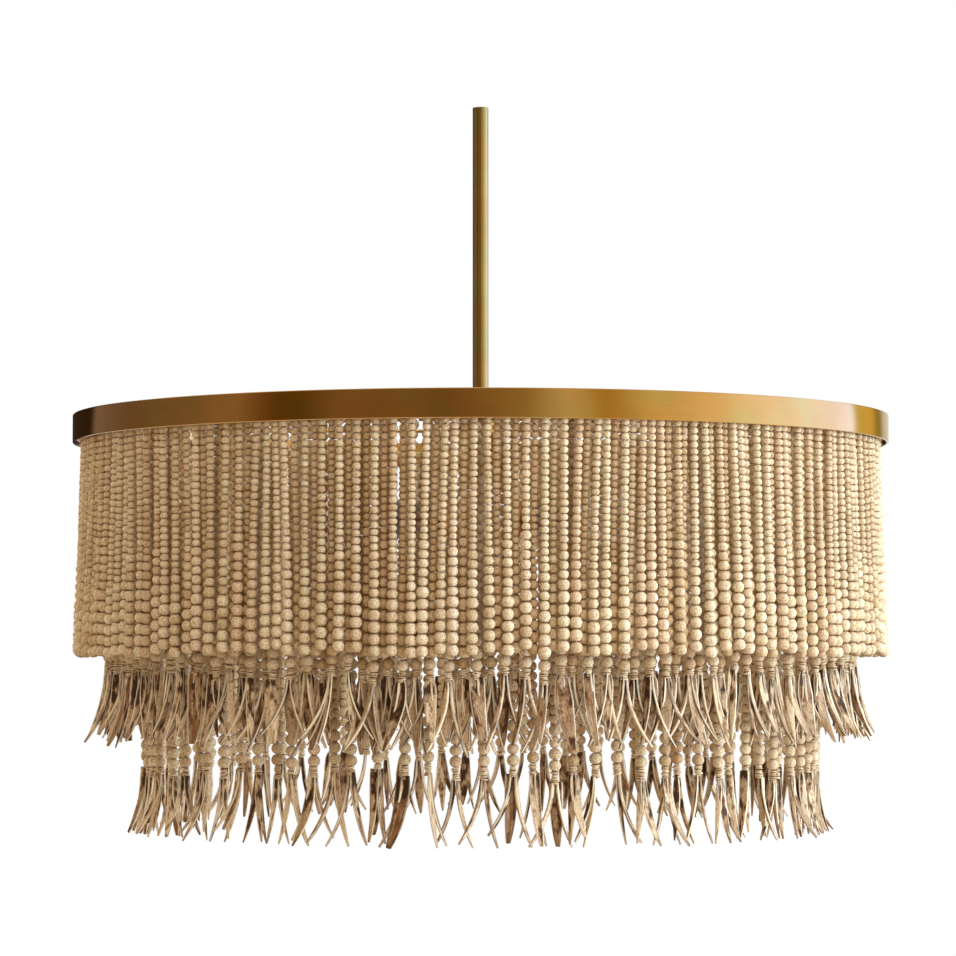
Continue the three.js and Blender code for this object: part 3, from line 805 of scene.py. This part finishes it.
raw_wood, tree, shader = principled("raw_bead_wood", Specular_IOR_Level=0.04)
grain, tone, spot = wood_places(tree)
colour = mixed(tree, tone["Red"], TAN_WOOD, CREAM_WOOD)
colour = mixed(tree, 1.0, colour, mixed(tree, tone["Green"], GREEN_TINT, PINK_TINT), "MULTIPLY")
lines = noise(tree, spot, (1.5, 1.5, 0.25), 3.0)
colour = with_stain(tree, colour, lines, 0.42, 0.68, 0.7, GROWTH_LINE, "MULTIPLY")
flecks = noise(tree, spot, (0.8, 0.8, 0.8), 3.0)
colour = with_stain(tree, colour, flecks, 0.48, 0.62, 0.8, FLECK, "MULTIPLY")
from_middle = math_of(tree, "ABSOLUTE", part_of(tree, grain, "Z"))
# Painted shade: each bead darkens to a deep brown towards its ends, where it meets the next bead
colour = with_stain(tree, colour, from_middle, 0.78 * END_HALF, END_HALF, 0.9, BEAD_END_SHADE, "MULTIPLY")
link_finish(tree, shader, colour, ranged(tree, lines, 0.3, 0.7, 0.58, 0.74), lines, 0.25, 0.15 * MM)
print("bead wood from", TAN_WOOD[:3], "to", CREAM_WOOD[:3])

# %% [markdown]
# The string is undyed cotton, and shows only above the first bead, below the last, and where it loops over
# its carrier. A fine slanting noise stands for its twist.

# %% Make the cotton string
cotton, tree, shader = principled("cotton_string", Sheen_Weight=0.15, Specular_IOR_Level=0.2, Roughness=0.85)
twist = noise(tree, wood_places(tree)[0], (2.2, 2.2, 3.0))
undyed = mixed(tree, twist, (0.62, 0.50, 0.34, 1), (0.86, 0.79, 0.64, 1))
link_finish(tree, shader, undyed, None, twist, 0.4, 0.1 * MM)
print("string finish", cotton.name)

# %% [markdown]
# The shards are thin curved slips of shell and wood. Their broad faces are brown with dark stains near the
# hole, streaked along their length and finely cracked, and their cut edges are pale. "grain" runs from -5 to
# 5 across a shard and from 0 to 66 down it, so the edges and the stains know where they are.

# %% Make the shard material
ACROSS_HALF, GRAIN_LENGTH = 5.0, 66.0
BARK_BROWN, SHARD_TAN, EDGE_CREAM = (0.27, 0.135, 0.055, 1), (0.70, 0.53, 0.34, 1), (0.93, 0.86, 0.70, 1)
CRACK, RED_STAIN, DARK_STAIN = (0.50, 0.34, 0.22, 1), (0.17, 0.068, 0.024, 1), (0.045, 0.022, 0.012, 1)

shard_wood, tree, shader = principled("split_shard", Specular_IOR_Level=0.08)
grain, tone, spot = wood_places(tree)
streaks = noise(tree, spot, (0.9, 0.9, 0.035), 3.0)
lightness = math_of(tree, "ADD", noise(tree, spot, (0.09, 0.09, 0.04)), tone["Red"])
colour = mixed(tree, ranged(tree, lightness, 0.55, 1.15), BARK_BROWN, SHARD_TAN)
colour = with_stain(tree, colour, streaks, 0.42, 0.72, 0.36, EDGE_CREAM)
cracks = noise(tree, spot, (1.5, 1.5, 0.35), 6.0)
colour = with_stain(tree, colour, cracks, 0.535, 0.595, 0.85, CRACK, "MULTIPLY")

# Stains lie where a noise is high, more of them near the hole and on some shards than on others
down = part_of(tree, grain, "Z")
near_hole = ranged(tree, down, 0.05 * GRAIN_LENGTH, 0.60 * GRAIN_LENGTH, 0.09, 0.0)
darkness = math_of(tree, "ADD", noise(tree, spot, (0.17, 0.17, 0.075), 8.0), near_hole)
darkness = math_of(tree, "ADD", darkness, ranged(tree, tone["Green"], 0.0, 1.0, -0.09, 0.09))
colour = with_stain(tree, colour, darkness, 0.52, 0.56, 0.7, RED_STAIN)
colour = with_stain(tree, colour, darkness, 0.60, 0.635, 0.9, DARK_STAIN)
tips = ranged(tree, down, 0.86 * GRAIN_LENGTH, GRAIN_LENGTH, 0, 0.7)
colour = mixed(tree, math_of(tree, "MULTIPLY", tips, tone["Green"]), colour, RED_STAIN)
from_middle = math_of(tree, "ABSOLUTE", part_of(tree, grain, "X"))
edge = ranged(tree, from_middle, 0.82 * ACROSS_HALF, 0.98 * ACROSS_HALF)
edge = math_of(tree, "MULTIPLY", edge, ranged(tree, tone["Blue"], 0.1, 0.9, 0.35, 1.0))
colour = mixed(tree, edge, colour, EDGE_CREAM)
link_finish(tree, shader, colour, ranged(tree, streaks, 0.3, 0.7, 0.45, 0.62), streaks, 0.35, 0.3 * MM)
print("shards", BARK_BROWN[:3], "to", EDGE_CREAM[:3])

# %% [markdown]
# ## Where the strands hang
# Each tier is twelve carriers, and each carrier holds its own row of strands: 23 in the outer tier, 14 in
# the middle and 8 in the inner one. The largest beads are nearly as wide as the room between two strings,
# so about a third of the strands hang a little behind the others, and fill the gaps between them. They are
# tied along the carrier with a wide place here and there, and their large beads push them apart lower down.
# Rows that were all alike would look machine made, so each carrier draws its own order of front and back
# strands. In the photograph the middle tier also hangs a little shorter at the two sides, and the inner one
# a little longer: side_rise.

# %% Lay out the tiers
SECTORS = 12
SECTOR_ANGLE = 2 * math.pi / SECTORS
CARRIER_GAP, CARRIER_DEPTH, CARRIER_WIDTH = 2.9 * MM, 2 * MM, 8 * MM
OUTER_INSET, MIDDLE_SPACING, INNER_SPACING = 9 * MM, 29 * MM, 35 * MM

# room is the shares of a row that a front and a back strand take, and smallest a bead's width and height
tiers = {
    "outer": SimpleNamespace(
        radius=band_inside - OUTER_INSET, strands=23, behind=9, row_depth=7.6 * MM, edge=7.5 * MM,
        lean=5.5 * MM, drop=209.5 * MM, room=(12.0, 8.8), smallest=(7.7 * MM, 6.3 * MM), side_rise=0.0,
        fringe=False,
    ),
    "middle": SimpleNamespace(
        radius=band_inside - OUTER_INSET - MIDDLE_SPACING, strands=14, behind=5, row_depth=6 * MM,
        edge=7.4 * MM, lean=4.5 * MM, drop=223 * MM, room=(16.0, 11.5), smallest=(9.8 * MM, 8.8 * MM),
        side_rise=8 * MM, fringe=True, flare=27 * MM, widest=18, threes=0.9, side_clear=3.5 * MM,
    ),
    "inner": SimpleNamespace(
        radius=band_inside - OUTER_INSET - MIDDLE_SPACING - INNER_SPACING, strands=8, behind=2,
        row_depth=6 * MM, edge=10.2 * MM, lean=1.5 * MM, drop=311 * MM, room=(23.0, 17.5),
        smallest=(11.0 * MM, 10.2 * MM), side_rise=-6 * MM, fringe=True, flare=25 * MM, widest=15, threes=0.7,
        side_clear=7 * MM,
    ),
}
for name, tier in tiers.items():
    tier.hinge, tier.hinge_z = HINGE_RADIUS[name], HINGE_Z[name]
    tier.top = tier.hinge_z - WIRE_RADIUS - CARRIER_GAP - CARRIER_DEPTH
    tier.end = band_low.z - tier.drop
print("strands", {name: tier.strands * SECTORS for name, tier in tiers.items()})

# %% Hang one carrier's strings
ROW_AT_TOP = 0.4
SPREAD_BY = 0.8
WIDE_PLACES, WIDE_STEP = 0.12, 1.6
MOST_SWAY, MOST_BOW, MOST_BEHIND = 0.9, 0.7, 0.5
END_VARIES = (-3.5 * MM, 4.5 * MM)
# Strands that hang behind the others get a darker tone range: painted shade for the back row
FRONT_LIGHTNESS, BACK_SHADE_LIGHTNESS, WARMTH = (0.4, 0.95), (-0.1, 0.4), (0.15, 0.85)


def hung_strings(tier, middle, rng):
    """The strings of one carrier: their compass angles, and how each stands off its straight line."""
    n = tier.strands
    places = np.sort(rng.choice(n - 1 - tier.behind, tier.behind, replace=False)) + np.arange(tier.behind) + 1
    back = np.zeros(n, bool)
    back[places] = True
    front_room, back_room = tier.room
    gaps = np.where(back[1:] | back[:-1], back_room, front_room) * rng.uniform(0.97, 1.03, n - 1)
    end_radius = tier.radius + tier.lean
    along = np.concatenate([[0], np.cumsum(gaps)]) / gaps.sum() - 0.5
    offset = along * (SECTOR_ANGLE * end_radius - 2 * tier.edge)
    outwards, sideways = radial(middle + offset / end_radius)
    steps = np.where(rng.spawn(1)[0].random(n - 1) < WIDE_PLACES, WIDE_STEP, 1.0)
    tied = np.concatenate([[0], np.cumsum(steps)]) / steps.sum() - 0.5
    tied = tied * SECTOR_ANGLE * tier.radius * (n - 1) / n
    sway = rng.uniform(-MOST_SWAY, MOST_SWAY, n) * MM
    sway[0], sway[-1] = abs(sway[0]), -abs(sway[-1])
    return SimpleNamespace(
        outwards=outwards, sideways=sideways, offset=offset, start=tied - offset, sway=sway, middle=middle,
        bow=rng.uniform(-MOST_BOW, MOST_BOW, n) * MM,
        inset=tier.row_depth * back + rng.uniform(0, MOST_BEHIND, n) * MM,
        ends=tier.end + tier.side_rise * outwards[:, 0] ** 2 + rng.uniform(*END_VARIES, n),
        # Beads of the back strands are painted darker, as shade
        lightness=np.where(back, rng.uniform(*BACK_SHADE_LIGHTNESS, n), rng.uniform(*FRONT_LIGHTNESS, n)),
        warmth=rng.uniform(*WARMTH, n),
    )


def on_string(tier, strings, which, height):
    """Points on the strings numbered in which, at the given heights."""
    share = (tier.top - height) / (tier.top - tier.end)
    row = ROW_AT_TOP + (1 - ROW_AT_TOP) * np.clip(share, 0, 1)
    out = tier.radius + tier.lean * share - strings.inset[which] * row
    pull = (1 - np.clip(share / SPREAD_BY, 0, 1)) ** 1.2
    side = strings.sway[which] * share + strings.bow[which] * np.sin(np.pi * np.clip(share, 0, 1))
    side = (side + strings.start[which] * pull)[..., None] * strings.sideways[which]
    return out[..., None] * strings.outwards[which] + side + height[..., None] * UP


# %% [markdown]
# ## Beads
# A bead is a barrel, a little wider than tall, with a dip where the string goes in. Hand-turned beads vary,
# so each gets its own width, height and tilt. Near the bottom they grow in two steps, to medium and large.

# %% Thread beads on the strings
# Width and height of each kind of bead. A tier's smallest is its own
MEDIUM_BEAD, LARGE_BEAD = (9.4 * MM, 8.4 * MM), (11.3 * MM, 10.5 * MM)
WIDEST_BEAD = 11.5 * MM
STRING_SHOWS = 0.6 * MM
FINE_BEAD = [(0.37, -0.96), (0.74, -0.73), (0.98, -0.26), (0.98, 0.26), (0.74, 0.73), (0.37, 0.96)]
PLAIN_BEAD = [(0.58, -0.88), (0.99, -0.32), (0.99, 0.32), (0.58, 0.88)]
BEAD_DIP = 0.90
OUT_OF_ROUND = 0.035


def bead_sizes(length, smallest, rng):
    """Widths and heights of one strand's beads, from its last bead upwards, as many as there is room for."""
    large, medium = rng.integers(4, 7), rng.integers(3, 7)
    small = int(length / smallest[1]) + 2
    sizes = np.repeat([LARGE_BEAD, MEDIUM_BEAD, smallest], [large, medium, small], 0)
    sizes[large + medium:] *= rng.uniform(0.94, 1.05)
    sizes = sizes * (1 + 0.04 * np.clip(rng.standard_normal(sizes.shape), -2, 2))
    sizes[0] = LARGE_BEAD
    sizes = sizes[np.cumsum(sizes[:, 1]) <= length]
    sizes[1:, 1] *= (length - sizes[0, 1] - STRING_SHOWS) / sizes[1:, 1].sum()
    return sizes


def turned_on(shape, sides, dip, centres, widths, heights, tilts, tone, rng):
    """A batch of small turned forms: one shape, but each form with its own place, size, tilt and tone."""
    count = len(centres)
    turn = angles(sides)
    reach, level = np.array(shape).T[..., None]
    lean_to = rng.uniform(0, 2 * np.pi, count)
    spin = rng.uniform(0, 2 * np.pi, count)
    oval = 1 + rng.uniform(-OUT_OF_ROUND, OUT_OF_ROUND, (count, 1)) * np.cos(2 * turn)
    round_x, round_y = np.cos(turn + spin[:, None]) * oval, np.sin(turn + spin[:, None]) * oval
    local = joined(reach * round_x[:, None], reach * round_y[:, None], level)
    tips = np.tile(np.array([[0.0, 0.0, -dip], [0.0, 0.0, dip]]), (count, 1, 1))
    scale = joined(widths / 2, widths / 2, heights / 2)
    axis = joined(np.cos(lean_to), np.sin(lean_to), 0.0)
    up = UP * np.cos(tilts)[:, None] + np.cross(axis, UP) * np.sin(tilts)[:, None]
    own_axes = np.stack([axis, np.cross(up, axis), up], 1)

    def placed(points):
        sized = points.reshape(count, -1, 3) * scale[:, None]
        return (np.einsum("npi,nij->npj", sized, own_axes) + centres[:, None]).reshape(points.shape)

    own = np.concatenate([local.reshape(count, -1, 3), tips], 1)
    grain = own * joined(widths / 2 / MM, widths / 2 / MM, END_HALF)[:, None]
    return forms(placed(local), placed(tips), tone=tone, grain=grain)


def tones(lightness, warmth, rng):
    """Tone colours of forms: lightness, warmth, and a number that only tells them apart."""
    return joined(np.clip(lightness, 0, 1), np.clip(warmth, 0, 1), rng.random(len(lightness)), 1.0)


def thread_beads(tier, strings, fine_below, rng):
    """Beads of one carrier. Those that hang lower than fine_below get the fine shape."""
    which, height, size = [], [], []
    for s, end in enumerate(strings.ends):
        beads = bead_sizes(tier.top - end, tier.smallest, rng)
        which.append(np.full(len(beads), s))
        height.append(end + np.cumsum(beads[:, 1]) - beads[:, 1] / 2)
        size.append(beads)
    which, height, size = (np.concatenate(part) for part in (which, height, size))
    count = len(which)
    widths, heights = np.minimum(size[:, 0], WIDEST_BEAD), 1.01 * size[:, 1]
    tilts = rng.uniform(0, np.radians(10), count)
    lightness = strings.lightness[which] + rng.normal(0, 0.15, count)
    tone = tones(lightness, strings.warmth[which] + rng.normal(0, 0.16, count), rng)
    centres = on_string(tier, strings, which, height)
    made = []
    for shape, sides, chosen in ((FINE_BEAD, 12, height < fine_below), (PLAIN_BEAD, 8, height >= fine_below)):
        if chosen.any():
            sized = (part[chosen] for part in (centres, widths, heights, tilts, tone))
            made.append(turned_on(shape, sides, BEAD_DIP, *sized, rng))
    return made


# %% [markdown]
# ## Strings and carriers
# A string goes over its carrier, down through the beads and, in the fringed tiers, on through the discs to
# the shards. The carrier is a brass strip bent to the tier's circle, with a strap hook that rides on the
# wire ring. Both are sections carried along a path, as the arms were.

# %% Lay the strings and loop them over the carrier
STRING_RADIUS, STRING_STATIONS = 0.45 * MM, 14
STRING_SECTION = STRING_RADIUS * joined(np.cos(angles(6)), np.sin(angles(6)))


def string_forms(tier, strings, below):
    """Each string from its carrier to a distance below its last bead, and its loop over the carrier."""
    n = tier.strands
    heights = np.linspace(np.full(n, tier.top + 0.4 * MM), strings.ends - below, STRING_STATIONS, axis=1)
    path = on_string(tier, strings, np.broadcast_to(np.arange(n)[:, None], heights.shape), heights)
    across = strings.sideways[:, None]
    grain = joined(*(STRING_SECTION / MM).T, (heights / MM)[..., None]).reshape(n, -1, 3)
    grain = np.concatenate([grain, np.zeros((n, 2, 3))], 1)
    runs = forms(along_path(path, STRING_SECTION, across), slot=1, grain=grain)

    wide, deep = CARRIER_WIDTH / 2 + STRING_RADIUS, CARRIER_DEPTH / 2 + STRING_RADIUS
    loop = rounded_profile([(-wide, -deep), (wide, -deep), (wide, deep), (-wide, deep)], 0.8 * MM)
    centre = tier.radius * strings.outwards + strings.start[:, None] * strings.sideways
    centre = centre + (tier.top + CARRIER_DEPTH / 2) * UP
    path = centre[:, None] + loop[:, 0, None] * strings.outwards[:, None] + loop[:, 1, None] * UP
    return [runs, forms(along_path(path, STRING_SECTION, across, closed=True), hoop=True, slot=1)]


# %% Bend a carrier and its hook
HOOK_WIDTH, HOOK_DEPTH, HOOK_LIP = 24 * MM, 1.2 * MM, 1.5 * MM
WIRE_SEAT, STRIP_GAP, METAL_ROUND = 0.3 * MM, 2 * MM, 0.4 * MM


def carrier_forms(tier, middle):
    """The strip that the strings hang from, and the strap hook that rides on the wire ring."""
    half_angle = SECTOR_ANGLE / 2 - STRIP_GAP / tier.radius
    outwards, _ = radial(np.linspace(middle - half_angle, middle + half_angle, 33))
    path = tier.radius * outwards + (tier.top + CARRIER_DEPTH / 2) * UP
    strip = along_path(path[None], rounded_bar(CARRIER_WIDTH, CARRIER_DEPTH, METAL_ROUND), outwards)
    outwards, sideways = radial(middle)
    reach = WIRE_RADIUS + WIRE_SEAT + HOOK_DEPTH / 2
    over = np.linspace(0, math.pi, 13)
    across = np.concatenate([[reach], reach * np.cos(over), [-reach]])
    up = np.concatenate([[tier.top + CARRIER_DEPTH - tier.hinge_z], reach * np.sin(over), [-HOOK_LIP]])
    path = (tier.hinge + across)[:, None] * outwards + (tier.hinge_z + up)[:, None] * UP
    hook = along_path(path[None], rounded_bar(HOOK_WIDTH, HOOK_DEPTH, METAL_ROUND), sideways)
    return [forms(strip), forms(hook)]


print("hook reaches", round((WIRE_RADIUS + WIRE_SEAT + HOOK_DEPTH) / MM, 2), "mm round the wire")

# %% [markdown]
# ## Discs and shards
# Under its last bead a fringed strand has four to six thin discs, and then two or three shards tied at
# their upper end. A shard is a slip that hangs straight at first and curls away from its face, so from the
# front it looks like a blade and from its edge like a crescent. Its curl grows with the square of the
# distance down, as a strip's bend does. Most curl outwards or to the side, and few curl towards the middle,
# where the next tier hangs.

# %% Stack the discs
DISC_SHAPE = [(0.68, -1.0), (1.0, -0.4), (1.0, 0.4), (0.68, 1.0)]
DISC_WIDTH, DISC_DEPTH = 8.0 * MM, 2.0 * MM


def numbered(counts):
    """Each form's strand, and its number on that strand, where each strand has its own count of them."""
    return np.repeat(np.arange(len(counts)), counts), np.concatenate([np.arange(c) for c in counts])


def stack_discs(tier, strings, rng):
    """Thin discs under each last bead. Returns the batch and how far down each stack reaches."""
    counts = rng.integers(4, 7, tier.strands)
    which, order = numbered(counts)
    count = len(which)
    depth = DISC_DEPTH * rng.uniform(0.8, 1.15, count)
    height = strings.ends[which] - DISC_DEPTH * (order + 0.5)
    widths = DISC_WIDTH * rng.uniform(0.82, 1.08, count)
    tone = tones(rng.uniform(0.1, 1.2, count), rng.uniform(0.2, 0.9, count), rng)
    tilts = rng.uniform(0, np.radians(15), count)
    centres = on_string(tier, strings, which, height)
    centres = centres + rng.uniform(-0.5, 0.5, (count, 3)) * MM * np.array((1, 1, 0))
    return turned_on(DISC_SHAPE, 12, 1.0, centres, widths, depth, tilts, tone, rng), counts * DISC_DEPTH


# %% Shapes of a shard
SHARD_STEPS = np.linspace(0, 1, 12)
# Share of a shard's full width from its top to its tip: a square-topped blade, a slim tusk, and a leaf
SHARD_OUTLINES = (
    ([0, 0.03, 0.35, 0.7, 0.95, 1], [0.92, 1.0, 0.98, 0.80, 0.50, 0.36]),
    ([0, 0.06, 0.25, 0.6, 0.95, 1], [0.62, 0.90, 1.0, 0.78, 0.34, 0.22]),
    ([0, 0.1, 0.35, 0.7, 0.95, 1], [0.50, 0.76, 1.0, 0.76, 0.32, 0.20]),
)
# Across the shard in widths, and through it in thicknesses
SHARD_SECTION = np.array([
    (-0.5, -0.2), (-0.31, -0.5), (0, -0.56), (0.31, -0.5), (0.5, -0.2),
    (0.5, 0.2), (0.31, 0.5), (0, 0.56), (-0.31, 0.5), (-0.5, 0.2),
])
SHARD_HOLLOW = 0.12


def hollow_along(path, flat_way, wide, thick):
    """Rings of a shard: a flat section, a little hollow, whose width and depth change along its path."""
    side, through = sides_of(path, flat_way)
    x, y = SHARD_SECTION.T
    bowed = SHARD_HOLLOW * wide[..., None] * (4 * x**2 - 0.5)
    sideways_part = (wide[..., None] * x)[..., None] * side[:, :, None]
    return path[:, :, None] + sideways_part + (thick[..., None] * y + bowed)[..., None] * through[:, :, None]


# %% Split and curl the shards
# Lengths, widths and depths in millimetres. A strand's third shard is a broad one, and the others are slim
SHARD_LENGTHS, BROAD_FROM, SLIM_WIDTHS = (54, 69), 10, (5.0, 9.5)
BROAD_DEPTHS, SLIM_DEPTHS = (1.8, 2.6), (2.4, 3.9)
BROAD_LIGHTNESS, SLIM_LIGHTNESS = (-0.15, 0.75), (0.1, 1.1)
# In metres: room that counts as none, how far a shard may curl, and its width where there is no room
BLOCKED_ROOM, MOST_SIDE, TURNED_SIDE, MOST_INWARDS, NARROWED = 5 * MM, 25 * MM, 20 * MM, 7 * MM, 7 * MM
LOWEST_TIP = 1.5 * MM


def split_shards(tier, strings, stack, rng):
    """Two slim shards on each strand that part to its sides, and mostly a broad one, flat to the front."""
    counts = rng.choice([2, 3], tier.strands, p=[1 - tier.threes, tier.threes])
    which, order = numbered(counts)
    count = len(which)
    broad = order == 2

    def drawn(broad_range, slim_range):
        return np.where(broad, rng.uniform(*broad_range, count), rng.uniform(*slim_range, count))

    length = rng.uniform(*SHARD_LENGTHS, count) * MM
    width = drawn((BROAD_FROM, tier.widest), SLIM_WIDTHS) * MM
    depth = drawn(BROAD_DEPTHS, SLIM_DEPTHS) * MM
    # The way a shard curls: 0 is outwards, and a positive angle is towards the next strand
    faces = np.radians(np.where(order == 0, -1, 1) * rng.uniform(35, 100, count))
    flat = rng.uniform(-0.6, 0.6, count) + np.where(rng.random(count) < 0.35, np.pi, 0)
    yaw = np.where(broad, flat, faces)
    out_part, side_part = np.cos(yaw), np.sin(yaw)
    # A shard that would cross into the next carrier's room turns the other way
    to_edge = SECTOR_ANGLE / 2 * (tier.radius + tier.lean) - np.sign(side_part) * strings.offset[which]
    room = to_edge - tier.side_clear - width / 2 * np.abs(out_part)
    side_part = np.where(room < BLOCKED_ROOM, -side_part, side_part)
    width = np.where(to_edge - tier.side_clear < width / 2, NARROWED, width)
    most_side = np.where(room < BLOCKED_ROOM, TURNED_SIDE, np.minimum(room, MOST_SIDE))
    curl = rng.uniform(0.4, 1.0, count) * tier.flare
    curl = np.minimum(curl, most_side / np.maximum(np.abs(side_part), 0.1))
    inwards = np.minimum(curl, MOST_INWARDS / np.abs(out_part).clip(0.1))
    curl = np.where(out_part < -0.1, inwards, curl)
    outwards, sideways = strings.outwards[which], strings.sideways[which]
    face = out_part[:, None] * outwards + side_part[:, None] * sideways
    across = -side_part[:, None] * outwards + out_part[:, None] * sideways
    start_height = strings.ends[which] - stack[which] + rng.uniform(0.5, 4.0, count) * MM
    start = on_string(tier, strings, which, start_height) + face * (0.6 * MM + depth[:, None] / 2)
    t = SHARD_STEPS
    reach = np.minimum(length, start_height - cad_low.z - LOWEST_TIP)
    skew = rng.uniform(-4, 4, count) * MM * np.minimum(1, room.clip(0) / (12 * MM))
    path = (
        start[:, None]
        - (reach[:, None] * t)[..., None] * UP
        + (curl[:, None] * t**2)[..., None] * face[:, None]
        + (skew[:, None] * t**1.7)[..., None] * across[:, None]
    )
    outline = np.array([np.interp(t, *SHARD_OUTLINES[i]) for i in rng.integers(0, 3, count)])
    thick = depth[:, None] * np.interp(t, [0, 0.2, 0.8, 1], [0.8, 1.0, 0.85, 0.5])
    twist = rng.uniform(-0.35, 0.35, count)[:, None] * t
    flat_way = np.cos(twist)[..., None] * across[:, None] + np.sin(twist)[..., None] * face[:, None]
    rings = hollow_along(path, flat_way, outline * width[:, None], thick)
    x, y = SHARD_SECTION.T
    grain = np.tile(joined(2 * x * ACROSS_HALF, 4 * y, (t * GRAIN_LENGTH)[:, None]), (count, 1, 1, 1))
    ends = np.tile(np.array([[0.0, 0.0, 0.0], [0.0, 0.0, GRAIN_LENGTH]]), (count, 1, 1))
    grain = np.concatenate([grain.reshape(count, -1, 3), ends], 1)
    tone = tones(drawn(BROAD_LIGHTNESS, SLIM_LIGHTNESS), rng.random(count), rng)
    return forms(rings, slot=1, tone=tone, grain=grain)


# %% [markdown]
# ## Hang the curtain
# Every carrier is its own moving body, so its brass, its beads and its fringe are three pieces that ride on
# that body together and stand for its plain panel. Beads that stay hidden behind another tier get a plainer
# shape, which saves about 420,000 triangles. A fixed seed for each panel gives the same light every run.

# %% Make all thirty-six panels
FINE_BELOW = {"outer": 1.0, "middle": tiers["outer"].end + 40 * MM, "inner": tiers["middle"].end + 10 * MM}
STRING_BELOW = 9 * MM
START_SEED = 21
beads_made = shards_made = 0
for number, (name, tier) in enumerate(tiers.items()):
    for sector in range(SECTORS):
        rng = np.random.default_rng((START_SEED, number, sector))
        label = f"{sector + 1:02d}"
        body, node = f"{name}_panel_{label}", f"{name}_curtain_{label}"
        strings = hung_strings(tier, HINGE_TURN[name] + sector * SECTOR_ANGLE, rng)
        carrier = carrier_forms(tier, strings.middle)
        piece(f"{name}_carrier_{label}", carrier, [turned_brass], body, node)
        beads = thread_beads(tier, strings, FINE_BELOW[name], rng)
        beads_made += sum(len(b.points) for b in beads)
        beads += string_forms(tier, strings, STRING_BELOW if tier.fringe else 0.0)
        piece(f"{name}_beads_{label}", beads, [raw_wood, cotton], body, node)
        if tier.fringe:
            discs, stack = stack_discs(tier, strings, rng)
            shards = split_shards(tier, strings, stack, rng)
            shards_made += len(shards.points)
            piece(f"{name}_fringe_{label}", [discs, shards], [raw_wood, shard_wood], body, node)
print("beads", beads_made, "shards", shards_made)

# %% [markdown]
# ## Size
# The dressed light must not outgrow the imported model. The imported model's box is printed.

# %% Print the imported model's box
print("packed", [round(v, 4) for v in (*cad_low, *cad_high)])
